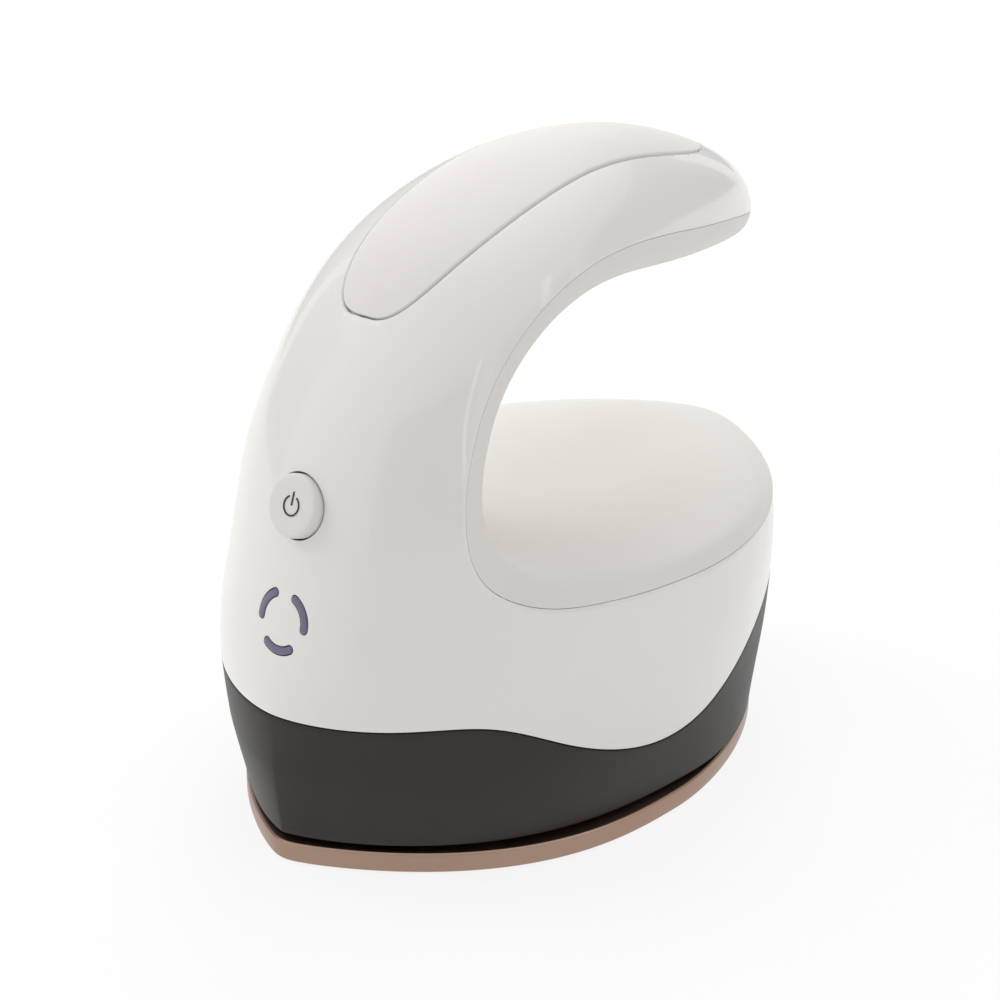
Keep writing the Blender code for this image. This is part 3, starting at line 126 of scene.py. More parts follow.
# Grip pad, in plan
PAD_FRONT = 0.0324
PAD_BACK = 0.045
PAD_HALF_WIDTH = 0.0113
PAD_WIDEST_PLACE = 0.008
PAD_FRONT_POWER = 3.0
PAD_TAIL_POWER = 2.2
PAD_POCKET = 0.0014
PAD_EDGE = 0.0003

# Power button and its symbol
BUTTON_PLACE = 0.0468
BUTTON_HEIGHT = 0.0569
BUTTON_LEAN = math.radians(19.5)
BUTTON_RADIUS = 0.0048
BUTTON_PROUD = 0.0012
BUTTON_EDGE = 0.0006
FLANGE_RADIUS = 0.006
FLANGE_THICKNESS = 0.0008
FLANGE_DEPTH = 0.0036
STEM_RADIUS = 0.0018
STEM_LENGTH = 0.0012
SYMBOL_RADIUS = 0.00148
SYMBOL_STROKE = 0.00024
SYMBOL_GAP = math.radians(64.0)
SYMBOL_BAR_TOP = 0.0020
SYMBOL_BAR_FOOT = 0.00015
SYMBOL_HEIGHT = 0.00004

# Light windows
WINDOW_PLACE = 0.0506
WINDOW_HEIGHT = 0.0396
WINDOW_LEAN = math.radians(12.0)
WINDOW_RADIUS = 0.0044
WINDOW_STROKE = 0.0013
WINDOW_SWEEP = math.radians(82.0)
WINDOW_DEPTH = 0.0038
WINDOW_PROUD = 0.00012
WINDOW_ANGLES = {"left": math.radians(150.0), "right": math.radians(30.0), "bottom": math.radians(270.0)}

# Gasket, floor and cord gland
GASKET_INSET = 0.0036
GASKET_WIDTH = 0.0016
FLOOR_BOTTOM = 0.0117
FLOOR_TOP = 0.0135
FLOOR_INSET_SHARE = 0.6
GLAND_HEIGHT = 0.0205
GLAND_BORE_RADIUS = 0.0028
GLAND_RADIUS = 0.0041
GLAND_FLANGE_RADIUS = 0.0052
GLAND_FLANGE = 0.0012
GLAND_INSIDE = 0.0022

# How finely the pieces are divided
FRONT_COLUMNS = 44
SIDE_COLUMNS = 24
TAIL_COLUMNS = 56
BAND_ROWS = 30
STRIP_ROWS = 150
LINER_COLUMNS = 56
LINER_ROWS = 190
BASE_ROWS = 22
PAD_COLUMNS = 36
PAD_ROWS = 90

HALF_LENGTH = PLATE_LENGTH / 2


def natural_curve(places, values):
    """A curve through given points with an even bend all along."""
    x, y = np.asarray(places, float), np.asarray(values, float)
    step = np.diff(x)
    count = len(x)
    matrix, right = np.eye(count), np.zeros(count)
    for i in range(1, count - 1):
        matrix[i, i - 1 : i + 2] = step[i - 1], 2 * (step[i - 1] + step[i]), step[i]
        right[i] = 6 * ((y[i + 1] - y[i]) / step[i] - (y[i] - y[i - 1]) / step[i - 1])
    bend = np.linalg.solve(matrix, right)

    def at(place):
        place = np.clip(place, x[0], x[-1])
        i = np.clip(np.searchsorted(x, place) - 1, 0, count - 2)
        ahead, behind = x[i + 1] - place, place - x[i]
        curved = (bend[i] * ahead**3 + bend[i + 1] * behind**3) / (6 * step[i])
        start = (y[i] / step[i] - bend[i] * step[i] / 6) * ahead
        return curved + start + (y[i + 1] / step[i] - bend[i + 1] * step[i] / 6) * behind

    return at


def section_curves():
    """Front and back as one curve over the crown, then half-width and widest place."""
    table = np.array(SECTION_SHARES)
    key = np.sqrt(1.0 - table[:, 0])
    keys = np.concatenate([-key, [0.0], key[::-1]])
    crown = CROWN_PLACE_SHARE * BACK_REACH
    side = np.concatenate([-table[:, 1] * FRONT_REACH, [crown], table[::-1, 3] * BACK_REACH])
    half = table[:, 2] * BODY_WIDTH / 2
    half = np.concatenate([-half, [0.0], half[::-1]])
    widest = table[:, 4] * FRONT_REACH
    widest = np.concatenate([widest, [crown], widest[::-1]])
    return natural_curve(keys, side), natural_curve(keys, half), natural_curve(keys, widest)


SIDE_LINE, HALF_WIDTH, WIDEST = section_curves()


def eased(share, power):
    """A power of a share whose bend stays finite at nought."""
    base = WIDEST_EASE**power
    top = (1 + WIDEST_EASE**2) ** (power / 2) - base
    return ((share**2 + WIDEST_EASE**2) ** (power / 2) - base) / top


def share_from_eased(value, power):
    base = WIDEST_EASE**power
    top = (1 + WIDEST_EASE**2) ** (power / 2) - base
    return np.sqrt(np.maximum((value * top + base) ** (2 / power) - WIDEST_EASE**2, 0.0))


def side_place(key):
    """Places on the silhouette, front and back, held to the body's reach."""
    return np.clip(SIDE_LINE(key), BOX_EASE - FRONT_REACH, BACK_REACH - BOX_EASE)


def section(height):
    """The body's section at each height: front, half-width, back, widest place and two powers."""
    height = np.asarray(height, float)
    key = np.sqrt(np.clip(1.0 - height / BODY_HEIGHT, 0.0, 1.0))
    share = np.clip((height - FOOT_HEIGHT) / (ROUND_NOSE_HEIGHT - FOOT_HEIGHT), 0.0, 1.0)
    share = share * share * (3 - 2 * share)
    power = FOOT_FRONT_POWER + (ROUND_NOSE_POWER - FOOT_FRONT_POWER) * share
    nose = FOOT_NOSE_POWER + (1 / ROUND_NOSE_POWER - FOOT_NOSE_POWER) * share
    half_width = np.minimum(HALF_WIDTH(key), BODY_WIDTH / 2 - BOX_EASE)
    return side_place(-key), half_width, side_place(key), WIDEST(key), power, nose


def width_at(place, height):
    """Half the body's width at places along it and heights."""
    front, half_width, back, widest, power, nose = section(height)
    ahead = np.clip((widest - place) / (widest - front), 0.0, 1.0)
    behind = np.clip((place - widest) / np.maximum(back - widest, MERGE_DISTANCE), 0.0, 1.0)
    front_width = np.maximum(1 - eased(ahead, power), 0.0) ** nose
    back_width = np.maximum(1 - eased(behind, TAIL_POWER), 0.0) ** (1 / TAIL_POWER)
    return half_width * np.where(place < widest, front_width, back_width)


def around(turn, height):
    """Points of the body's sections: turn is 0 at the nose, 1 at the right, 2 at the tail and 4 at the nose."""
    front, half_width, back, widest, power, nose = section(height)
    side = np.where(turn <= 2, 1.0, -1.0)
    turn = np.where(turn <= 2, turn, 4 - turn)
    ahead = np.cos(np.minimum(turn, 1.0) * math.pi / 2)
    behind = np.sin(np.clip(turn - 1, 0.0, 1.0) * math.pi / 2)
    front_width = np.maximum(1 - eased(ahead, power), 0.0) ** nose
    back_width = np.maximum(1 - eased(behind, TAIL_POWER), 0.0) ** (1 / TAIL_POWER)
    x = side * half_width * np.where(turn <= 1, front_width, back_width)
    y = np.where(turn <= 1, widest - ahead * (widest - front), widest + behind * (back - widest))
    return x, y


def front_place(across, height):
    """Where the body's front lies at a distance from its middle plane."""
    front, half_width, _, widest, power, nose = section(height)
    share = share_from_eased(1 - (np.abs(across) / half_width) ** (1 / nose), power)
    return widest - share * (widest - front)


def top_height(across, place):
    """The height of the body's upper side over points in plan."""
    low, high = np.full_like(place, 0.07), np.full_like(place, CROWN_TOP)
    for _ in range(40):
        middle = (low + high) / 2
        inside = width_at(place, middle) > np.maximum(np.abs(across), NARROWEST)
        low, high = np.where(inside, middle, low), np.where(inside, high, middle)
    return (low + high) / 2


def seam_table():
    """The liner's seam in side view against the length run along it from the grip's tip."""
    table = np.array(SEAM_SHARES)
    points = np.stack([table[:, 0] * BACK_REACH, table[:, 1] * BODY_HEIGHT], -1)
    run = np.append(0.0, np.cumsum(np.linalg.norm(np.diff(points, axis=0), axis=1)))
    columns = (points[:, 0], points[:, 1], table[:, 2], table[:, 3])
    place, height, swell, square = (natural_curve(run, values) for values in columns)
    fine = np.linspace(0.0, run[-1], 4000)
    inside = np.flatnonzero(width_at(place(fine), height(fine)) > NARROWEST)
    return place, height, swell, square, fine[inside[0]], fine[inside[-1]]


SEAM_PLACE, SEAM_RISE, SEAM_SWELL, SEAM_SQUARE, SEAM_START, SEAM_END = seam_table()


def corner_run():
    """Where along the seam the deck ends and the column begins."""
    runs = np.linspace(SEAM_START, SEAM_END, 4000)
    return float(runs[np.flatnonzero(SEAM_RISE(runs) < COLUMN_CORNER_HEIGHT)[0]])


CORNER_RUN = corner_run()
CORNER_PLACE = float(SEAM_PLACE(CORNER_RUN))
DECK_RUNS = np.linspace(CORNER_RUN, SEAM_END, 400)
DECK_PLACES, DECK_HEIGHTS = SEAM_PLACE(DECK_RUNS), SEAM_RISE(DECK_RUNS)


def band_top(place):
    """The upper edge of the closed band: the deck's seam, then level across the column's front."""
    return np.where(place < CORNER_PLACE, COLUMN_CORNER_HEIGHT, np.interp(place, DECK_PLACES, DECK_HEIGHTS))


def wave_curve():
    table = np.array(WAVE_SHARES)
    return natural_curve(table[:, 0] * BACK_REACH, table[:, 1] * BODY_HEIGHT)


WAVE = wave_curve()


def corner_turn():
    """The turn round the band's top at which the seam leaves it."""
    front, _, _, widest, _, _ = section(COLUMN_CORNER_HEIGHT)
    return float(np.arccos((widest - CORNER_PLACE) / (widest - front)) / (math.pi / 2))


CORNER_TURN = corner_turn()


def turns_round():
    """Turns of the band's columns, with one at the column's corner on each side."""
    right = np.concatenate([
        np.linspace(0.0, CORNER_TURN, FRONT_COLUMNS + 1),
        np.linspace(CORNER_TURN, 1.0, SIDE_COLUMNS + 1)[1:],
        np.linspace(1.0, 2.0, TAIL_COLUMNS + 1)[1:],
    ])
    return np.concatenate([right, (4 - right[:-1])[::-1]])


TURNS = turns_round()


def between(turn, share, low, high):
    """Points of the body between two lines that are given as heights over places."""
    height = np.full_like(turn, COLUMN_CORNER_HEIGHT / 2)
    for _ in range(30):
        _, y = around(turn, height)
        height = low(y) + (high(y) - low(y)) * share
    x, y = around(turn, height)
    return np.stack([x, y, height], -1)


def grid_into(bm, columns, rows, place_of):
    """Adds a fine sheet and lays it where place_of says for each column and row."""
    made = bmesh.ops.create_grid(bm, x_segments=columns, y_segments=rows, size=0.5)["verts"]
    spots = np.array([vert.co for vert in made]) + 0.5
    column = np.rint(spots[:, 0] * columns).astype(int)
    row = np.rint(spots[:, 1] * rows).astype(int)
    for vert, point in zip(made, place_of(column, row)):
        vert.co = point


def finish_mesh(name, bm, merge=MERGE_DISTANCE, smooth=True):
    """Merges the seams, turns the faces outwards and makes the object."""
    bmesh.ops.remove_doubles(bm, verts=bm.verts[:], dist=merge)
    bmesh.ops.recalc_face_normals(bm, faces=bm.faces[:])
    mesh = bpy.data.meshes.new(name)
    bm.to_mesh(mesh)
    bm.free()
    if smooth:
        mesh.shade_smooth()
    obj = bpy.data.objects.new(name, mesh)
    bpy.context.scene.collection.objects.link(obj)
    return obj


def face_outwards(obj, sideways):
    """Turns an open sheet so that its faces point the way that sideways says at their middles."""
    bm = bmesh.new()
    bm.from_mesh(obj.data)
    score = sum(face.normal.dot(sideways(face.calc_center_median())) * face.calc_area() for face in bm.faces)
    if score < 0:
        bmesh.ops.reverse_faces(bm, faces=bm.faces[:])
    bm.to_mesh(obj.data)
    bm.free()


def wall(obj, thickness, rim=RIM_ROUND):
    """Gives a sheet its wall, inwards, and rounds its rims."""
    step = obj.modifiers.new("wall", "SOLIDIFY")
    step.thickness = thickness
    step.offset = -1.0
    if rim:
        edge = obj.modifiers.new("rim", "BEVEL")
        edge.width = rim
        edge.segments = 3
        edge.limit_method = "ANGLE"
        edge.angle_limit = math.radians(50.0)
        edge.use_clamp_overlap = True
        edge.harden_normals = True


def settled(obj):
    """Applies an object's modifiers."""
    graph = bpy.context.evaluated_depsgraph_get()
    mesh = bpy.data.meshes.new_from_object(obj.evaluated_get(graph))
    obj.modifiers.clear()
    obj.data = mesh


def cut(obj, cutters):
    """Cuts other shapes out of an object and removes them."""
    for cutter in cutters:
        step = obj.modifiers.new("cut", "BOOLEAN")
        step.object = cutter
        step.operation = "DIFFERENCE"
        step.solver = "EXACT"
    settled(obj)
    for cutter in cutters:
        bpy.data.objects.remove(cutter)


def shade(obj, degrees=35.0):
    obj.data.shade_smooth()
    obj.data.set_sharp_from_angle(angle=math.radians(degrees))


def axis_frame(place, height, lean):
    """A frame on the column's front: X stays, Y runs up the face and Z points out of it."""
    up = Vector((0.0, math.sin(lean), math.cos(lean)))
    out = Vector((0.0, -math.cos(lean), math.sin(lean)))
    return Matrix.Translation((0.0, -place, height)) @ Matrix((Vector((1, 0, 0)), up, out)).transposed().to_4x4()


BUTTON_FRAME = axis_frame(BUTTON_PLACE, BUTTON_HEIGHT, BUTTON_LEAN)
WINDOW_FRAME = axis_frame(WINDOW_PLACE, WINDOW_HEIGHT, WINDOW_LEAN)


def turned(name, profile, place, steps=72):
    """A profile of radius and height turned round Z, then set in its place."""
    bm = bmesh.new()
    verts = [bm.verts.new((radius, 0.0, height)) for radius, height in profile]
    edges = [bm.edges.new(pair) for pair in zip(verts, verts[1:])]
    bmesh.ops.spin(bm, geom=verts + edges, axis=(0, 0, 1), cent=(0, 0, 0), angle=math.tau, steps=steps, use_merge=True)
    bmesh.ops.transform(bm, matrix=place, verts=bm.verts[:])
    obj = finish_mesh(name, bm, merge=0.000002)
    shade(obj)
    return obj


def rounded_corner(radius, height, size, steps=5):
    """Points of a profile's rounded outer corner, from its top to its side."""
    turns = [i / steps * math.pi / 2 for i in range(steps + 1)]
    return [(radius - size + size * math.sin(t), height - size + size * math.cos(t)) for t in turns]


def plate_outline(inset=0.0, steps=72):
    """The sole plate's outline, drawn in by an inset, from the nose round the right side."""
    points = []
    for i in range(steps + 1):
        share = math.cos(i / steps * math.pi / 2)
        gone = (1 - share) * HALF_LENGTH
        gone = math.sqrt(gone * gone + 2 * PLATE_NOSE_EASE * gone)
        left = max(1 - gone / HALF_LENGTH, 0.0)
        points.append((PLATE_WIDTH / 2 * (1 - left**FRONT_POWER) ** NOSE_POWER, -share * HALF_LENGTH))
    for i in range(1, steps + 1):
        share = math.sin(i / steps * math.pi / 2)
        points.append((PLATE_WIDTH / 2 * max(1 - share**TAIL_POWER, 0.0) ** (1 / TAIL_POWER), share * HALF_LENGTH))
    points = np.array(points + [(-x, y) for x, y in points[-2:0:-1]])
    along = np.roll(points, -1, 0) - np.roll(points, 1, 0)
    inward = np.stack([-along[:, 1], along[:, 0]], -1) / np.linalg.norm(along, axis=1)[:, None]
    return points + inset * inward


def outline_block(bm, outline, low, high):
    """A closed block on an outline in plan between two heights, and its two rims."""
    made = bmesh.ops.create_circle(bm, cap_ends=True, segments=len(outline), radius=1.0)["verts"]
    order = sorted(made, key=lambda vert: vert.index)
    for vert, (x, y) in zip(order, outline):
        vert.co = (x, y, low)
    face = next(face for face in order[0].link_faces)
    drawn = bmesh.ops.extrude_face_region(bm, geom=[face])["geom"]
    top = [item for item in drawn if isinstance(item, bmesh.types.BMVert)]
    bmesh.ops.translate(bm, verts=top, vec=(0.0, 0.0, high - low))
    if not face.is_valid:
        face = bm.faces.new(order)
    rims = [e for e in bm.edges if all(v in set(top) for v in e.verts) or all(v in set(order) for v in e.verts)]
    return rims


def post_into(bm, radius, low, high, centre, steps=32):
    place = Matrix.Translation((centre[0], centre[1], (low + high) / 2))
    bmesh.ops.create_cone(bm, cap_ends=True, segments=steps, radius1=radius, radius2=radius, depth=high - low,
                          matrix=place)


def make_sole():
    """The sole plate with its polished edge and the bosses that the screws hold."""
    bm = bmesh.new()
    rims = outline_block(bm, plate_outline(), 0.0, PLATE_THICKNESS)
    bmesh.ops.bevel(bm, geom=rims, offset=PLATE_CHAMFER, segments=3, profile=0.5, affect="EDGES", material=-1)
    for x, y in ((0.023, -0.017), (-0.023, -0.017), (0.0215, 0.022), (-0.0215, 0.022)):
        post_into(bm, 0.003, PLATE_THICKNESS / 2, FLOOR_BOTTOM - GAP, (x, y))
    obj = finish_mesh("sole_plate", bm, merge=0.000002)
    shade(obj, 28.0)
    return obj


def make_gasket():
    """The brown ring that closes the gap between the plate and the base."""
    bm = bmesh.new()
    outer = plate_outline(GASKET_INSET)
    low, high = PLATE_THICKNESS + GAP, FOOT_HEIGHT - GAP
    made = bmesh.ops.create_circle(bm, cap_ends=False, segments=len(outer), radius=1.0)["verts"]
    for vert, (x, y) in zip(made, outer):
        vert.co = (x, y, low)
    drawn = bmesh.ops.extrude_edge_only(bm, edges=bm.edges[:])["geom"]
    bmesh.ops.translate(bm, verts=[v for v in drawn if isinstance(v, bmesh.types.BMVert)], vec=(0, 0, high - low))
    obj = finish_mesh("heat_gasket", bm, merge=0.000002)
    face_outwards(obj, lambda middle: Vector((middle.x, middle.y, 0.0)))
    wall(obj, GASKET_WIDTH, rim=0.0)
    return obj


def make_base():
    """The dark base cup, from its foot to the wavy line, with the floor inside it."""
    bm = bmesh.new()
    last = len(TURNS) - 1

    def place_of(column, row):
        return between(TURNS[column], row / BASE_ROWS, lambda y: np.full_like(y, FOOT_HEIGHT), lambda y: WAVE(y) - GAP / 2)

    grid_into(bm, last, BASE_ROWS, place_of)
    obj = finish_mesh("base_cup", bm)
    face_outwards(obj, lambda middle: Vector((middle.x, middle.y, 0.0)))
    wall(obj, WALL)
    settled(obj)
    bore = turned("gland_hole", [(0.0, -GLAND_RADIUS), (GLAND_RADIUS + GAP, -GLAND_RADIUS * 4),
                                 (GLAND_RADIUS + GAP, GLAND_RADIUS), (0.0, GLAND_RADIUS)],
                  Matrix.Translation((0.0, BACK_REACH, GLAND_HEIGHT)) @ Matrix.Rotation(-math.pi / 2, 4, "X"))
    cut(obj, [bore])
    x, y = around(TURNS, np.full_like(TURNS, (FLOOR_BOTTOM + FLOOR_TOP) / 2))
    shrink = 1 - WALL * FLOOR_INSET_SHARE / (BODY_WIDTH / 2)
    plate = bmesh.new()
    outline_block(plate, np.stack([x, y], -1)[:-1] * shrink, FLOOR_BOTTOM, FLOOR_TOP)
    bmesh.ops.recalc_face_normals(plate, faces=plate.faces[:])
    plate.from_mesh(obj.data)
    plate.to_mesh(obj.data)
    plate.free()
    shade(obj)
    return obj


def strip_place(column, row):
    """Points of the shell over the column and grip: rows from the right seam over the ridge to the left one."""
    lean = np.linspace(-CORNER_TURN, CORNER_TURN, 2 * FRONT_COLUMNS + 1)[column]
    edge = math.cos(CORNER_TURN * math.pi / 2)
    toward = (np.cos(lean * math.pi / 2) - edge) / (1 - edge)
    share = row / STRIP_ROWS
    run = CORNER_RUN + (SEAM_START - CORNER_RUN) * share
    start_y, start_z = SEAM_PLACE(run), SEAM_RISE(run)
    end_y, end_z = RIDGE_PLACE(share), RIDGE_HEIGHT(share)
    y = start_y + (end_y - start_y) * toward
    z = start_z + (end_z - start_z) * toward
    x = -np.sign(lean) * width_at(y, z)
    return np.stack([np.where(np.abs(lean) < 1e-9, 0.0, x), y, z], -1)


def ridge_curves():
    """The silhouette from the column's corner height over the crown to the grip's tip, by length run along it."""
    first = -math.sqrt(1 - COLUMN_CORNER_HEIGHT / BODY_HEIGHT)
    tip = math.sqrt(1 - float(SEAM_RISE(SEAM_START)) / BODY_HEIGHT)
    keys = np.linspace(first, tip, 3000)
    place, height = side_place(keys), np.minimum(BODY_HEIGHT * (1 - keys**2), CROWN_TOP)
    run = np.append(0.0, np.cumsum(np.hypot(np.diff(place), np.diff(height))))
    run /= run[-1]
    return lambda share: np.interp(share, run, place), lambda share: np.interp(share, run, height)


RIDGE_PLACE, RIDGE_HEIGHT = ridge_curves()


def make_shell():
    """The glossy shell: a closed band round the base and a strip over the column and grip."""
    bm = bmesh.new()
    last = len(TURNS) - 1
    grid_into(bm, last, BAND_ROWS,
              lambda column, row: between(TURNS[column], row / BAND_ROWS, lambda y: WAVE(y) + GAP / 2, band_top))
    grid_into(bm, 2 * FRONT_COLUMNS, STRIP_ROWS, strip_place)
    obj = finish_mesh("gloss_shell", bm)
    face_outwards(obj, lambda middle: Vector((middle.x, middle.y, 0.0)) if middle.z < 0.05 else Vector())
    wall(obj, WALL)
    settled(obj)
    cutters = [pad_block("pad_pocket", GAP / 2, 0.002, PAD_POCKET + 0.002)]
    cutters.append(turned("button_hole", [(0.0, -FLANGE_DEPTH), (BUTTON_RADIUS + GAP, -FLANGE_DEPTH),
                                          (BUTTON_RADIUS + GAP, BUTTON_PROUD * 2), (0.0, BUTTON_PROUD * 2)], BUTTON_FRAME))
    for name, angle in WINDOW_ANGLES.items():
        cutters.append(window_block(f"window_hole_{name}", angle, GAP / 3, -WINDOW_DEPTH, GAP * 3, 0.0))
    cut(obj, cutters)
    shade(obj, 40.0)
    return obj


def liner_heading():
    """The seam's direction against its run, smoothed so that the liner's arches never cross in the corner."""
    runs = np.linspace(SEAM_START, SEAM_END, 2000)
    turn = np.unwrap(np.arctan2(np.gradient(SEAM_RISE(runs)), np.gradient(SEAM_PLACE(runs))))
    reach = int(CORNER_BLEND * 3 / (runs[1] - runs[0]))
    weights = np.exp(-0.5 * (np.linspace(-3, 3, 2 * reach + 1)) ** 2)
    padded = np.concatenate([2 * turn[0] - turn[reach:0:-1], turn, 2 * turn[-1] - turn[-2 : -reach - 2 : -1]])
    smooth = np.convolve(padded, weights / weights.sum(), mode="valid")
    return lambda run: np.interp(run, runs, smooth)


LINER_HEADING = liner_heading()


def liner_place(column, row):
    """Points of the liner: a flat arch over the seam at each station from the tip to the deck's rear."""
    run = SEAM_START + (SEAM_END - SEAM_START) * row / LINER_ROWS
    y, z, swell = SEAM_PLACE(run), SEAM_RISE(run), SEAM_SWELL(run)
    heading = LINER_HEADING(run)
    run_y, run_z = np.cos(heading), np.sin(heading)
    half_width = np.where((row == 0) | (row == LINER_ROWS), 0.0, np.maximum(width_at(y, z), 0.0))
    depth = swell * np.sqrt(half_width * BODY_WIDTH / 2)
    angle = column / LINER_COLUMNS * math.pi
    bend = 2 / SEAM_SQUARE(run)
    across = np.sign(np.cos(angle)) * np.abs(np.cos(angle)) ** bend
    lift = GAP / 3 + depth * np.maximum(np.sin(angle), 0.0) ** bend
    return np.stack([half_width * across, y - lift * run_z, z + lift * run_y], -1)


def make_liner():
    """The matte liner under the grip, down the column and over the deck."""
    bm = bmesh.new()
    grid_into(bm, LINER_COLUMNS, LINER_ROWS, liner_place)
    obj = finish_mesh("soft_liner", bm)
    face_outwards(obj, lambda middle: Vector((0.0, 0.0, 1.0)) if middle.z < 0.05 else Vector())
    wall(obj, LINER_WALL)
    return obj


def pad_half_width(place, outset):
    front, back = PAD_FRONT + outset, PAD_BACK + outset
    ahead = np.clip((PAD_WIDEST_PLACE - place) / (PAD_WIDEST_PLACE + front), 0.0, 1.0)
    behind = np.clip((place - PAD_WIDEST_PLACE) / (back - PAD_WIDEST_PLACE), 0.0, 1.0)
    width = np.where(place < PAD_WIDEST_PLACE, (1 - ahead**PAD_FRONT_POWER) ** (1 / PAD_FRONT_POWER),
                     (1 - behind**PAD_TAIL_POWER) ** (1 / PAD_TAIL_POWER))
    return (PAD_HALF_WIDTH + outset) * width


def pad_block(name, outset, lift, thickness):
    """A plate on the grip's upper side inside the pad's outline, lifted off the body by lift."""
    front, back = PAD_FRONT + outset, PAD_BACK + outset

    def place_of(column, row):
        turn = row / PAD_ROWS * math.pi
        y = (back - front) / 2 - np.cos(turn) * (back + front) / 2
        x = (2 * column / PAD_COLUMNS - 1) * pad_half_width(y, outset)
        step = 0.0002
        z = top_height(x, y)
        slope_x = (top_height(x + step, y) - top_height(x - step, y)) / (2 * step)
        slope_y = (top_height(x, y + step) - top_height(x, y - step)) / (2 * step)
        normal = np.stack([-slope_x, -slope_y, np.ones_like(x)], -1)
        normal /= np.linalg.norm(normal, axis=1)[:, None]
        return np.stack([x, y, z], -1) + lift * normal

    bm = bmesh.new()
    grid_into(bm, PAD_COLUMNS, PAD_ROWS, place_of)
    obj = finish_mesh(name, bm, merge=0.000002)
    face_outwards(obj, lambda middle: Vector((0.0, 0.0, 1.0)))
    wall(obj, thickness, rim=0.0)
    return obj


def arc_outline(angle, outset, steps=20, end_steps=9):
    """A short arc with round ends, as radius and turn pairs in the plane of the windows."""
    middle, half = WINDOW_RADIUS, WINDOW_STROKE / 2 + outset
    sweep = WINDOW_SWEEP - WINDOW_STROKE / WINDOW_RADIUS
    start = angle - sweep / 2
    points = []
    for side in (1, -1):
        for i in range(steps + 1):
            turn = start + sweep * (i if side > 0 else steps - i) / steps
            points.append(((middle + side * half) * math.cos(turn), (middle + side * half) * math.sin(turn)))
        end = start + sweep if side > 0 else start
        for i in range(1, end_steps):
            turn = end + (0 if side > 0 else math.pi) + math.pi * i / end_steps
            points.append((middle * math.cos(end) + half * math.cos(turn),
                           middle * math.sin(end) + half * math.sin(turn)))
    return points


def window_block(name, angle, outset, low, high, rounding):
    """An arc-shaped block through the column's front, its face following the body."""
    bm = bmesh.new()
    rims = outline_block(bm, arc_outline(angle, outset), low, high)
    if rounding:
        upper = [edge for edge in rims if all(v.co.z > (low + high) / 2 for v in edge.verts)]
        bmesh.ops.bevel(bm, geom=upper, offset=rounding, segments=4, profile=0.5, affect="EDGES", material=-1)
    out = Vector((0.0, -math.cos(WINDOW_LEAN), math.sin(WINDOW_LEAN)))
    for vert in bm.verts:
        height = WINDOW_HEIGHT + vert.co.y * math.cos(WINDOW_LEAN)
        base = Vector((vert.co.x, float(front_place(vert.co.x, height)), height))
        vert.co = base + out * vert.co.z
    obj = finish_mesh(name, bm, merge=0.000002)
    shade(obj)
    return obj


def make_button():
    """The round power button with its flange and stem."""
    flange, stem = -FLANGE_DEPTH - FLANGE_THICKNESS, -FLANGE_DEPTH - FLANGE_THICKNESS - STEM_LENGTH
    dish = [(0.0, BUTTON_PROUD - 0.00008), (BUTTON_RADIUS * 0.5, BUTTON_PROUD - 0.00006)]
    profile = dish + rounded_corner(BUTTON_RADIUS, BUTTON_PROUD, BUTTON_EDGE) + [
        (BUTTON_RADIUS, -FLANGE_DEPTH), (FLANGE_RADIUS, -FLANGE_DEPTH), (FLANGE_RADIUS, flange),
        (STEM_RADIUS, flange), (STEM_RADIUS, stem), (0.0, stem)]
    return turned("press_button", profile, BUTTON_FRAME, 96)


def make_symbol():
    """The plain power sign printed on the button: an open ring and a bar."""
    low, high = BUTTON_PROUD - 0.0001, BUTTON_PROUD + SYMBOL_HEIGHT
    half = SYMBOL_STROKE / 2
    start, sweep = math.pi / 2 + SYMBOL_GAP / 2, math.tau - SYMBOL_GAP
    steps, end_steps = 48, 6
    ring = []
    for side in (1, -1):
        for i in range(steps + 1):
            turn = start + sweep * (i if side > 0 else steps - i) / steps
            ring.append(((SYMBOL_RADIUS + side * half) * math.cos(turn), (SYMBOL_RADIUS + side * half) * math.sin(turn)))
        end = start + sweep if side > 0 else start
        for i in range(1, end_steps):
            turn = end + (0 if side > 0 else math.pi) + math.pi * i / end_steps
            ring.append((SYMBOL_RADIUS * math.cos(end) + half * math.cos(turn),
                         SYMBOL_RADIUS * math.sin(end) + half * math.sin(turn)))
    bar = []
    for height, first in ((SYMBOL_BAR_TOP, 0.0), (SYMBOL_BAR_FOOT, math.pi)):
        for i in range(end_steps + 1):
            turn = first + math.pi * i / end_steps
            bar.append((half * math.cos(turn), height + half * math.sin(turn)))
    bm = bmesh.new()
    outline_block(bm, ring, low, high)
    other = bmesh.new()
    outline_block(other, bar, low, high)
    spare = bpy.data.meshes.new("bar")
    other.to_mesh(spare)
    other.free()
    bm.from_mesh(spare)
    bpy.data.meshes.remove(spare)
    bmesh.ops.transform(bm, matrix=BUTTON_FRAME, verts=bm.verts[:])
    return finish_mesh("power_sign", bm, merge=0.000001, smooth=False)


def make_gland():
    wall_place = float(section(GLAND_HEIGHT + GLAND_FLANGE_RADIUS)[2])
    start, flange = wall_place + GAP, wall_place + GAP + GLAND_FLANGE
    inside = float(section(GLAND_HEIGHT)[2]) - WALL - GLAND_INSIDE
    lip = GLAND_FLANGE / 2
    face = rounded_corner(GLAND_FLANGE_RADIUS, flange, lip)
    profile = [(GLAND_BORE_RADIUS, inside), (GLAND_BORE_RADIUS, flange)] + face + [
        (GLAND_FLANGE_RADIUS, start), (GLAND_RADIUS, start), (GLAND_RADIUS, inside), (GLAND_BORE_RADIUS, inside)]
    return turned("inlet_gland", profile, Matrix.Translation((0, 0, GLAND_HEIGHT)) @ Matrix.Rotation(-math.pi / 2, 4, "X"))


# Materials

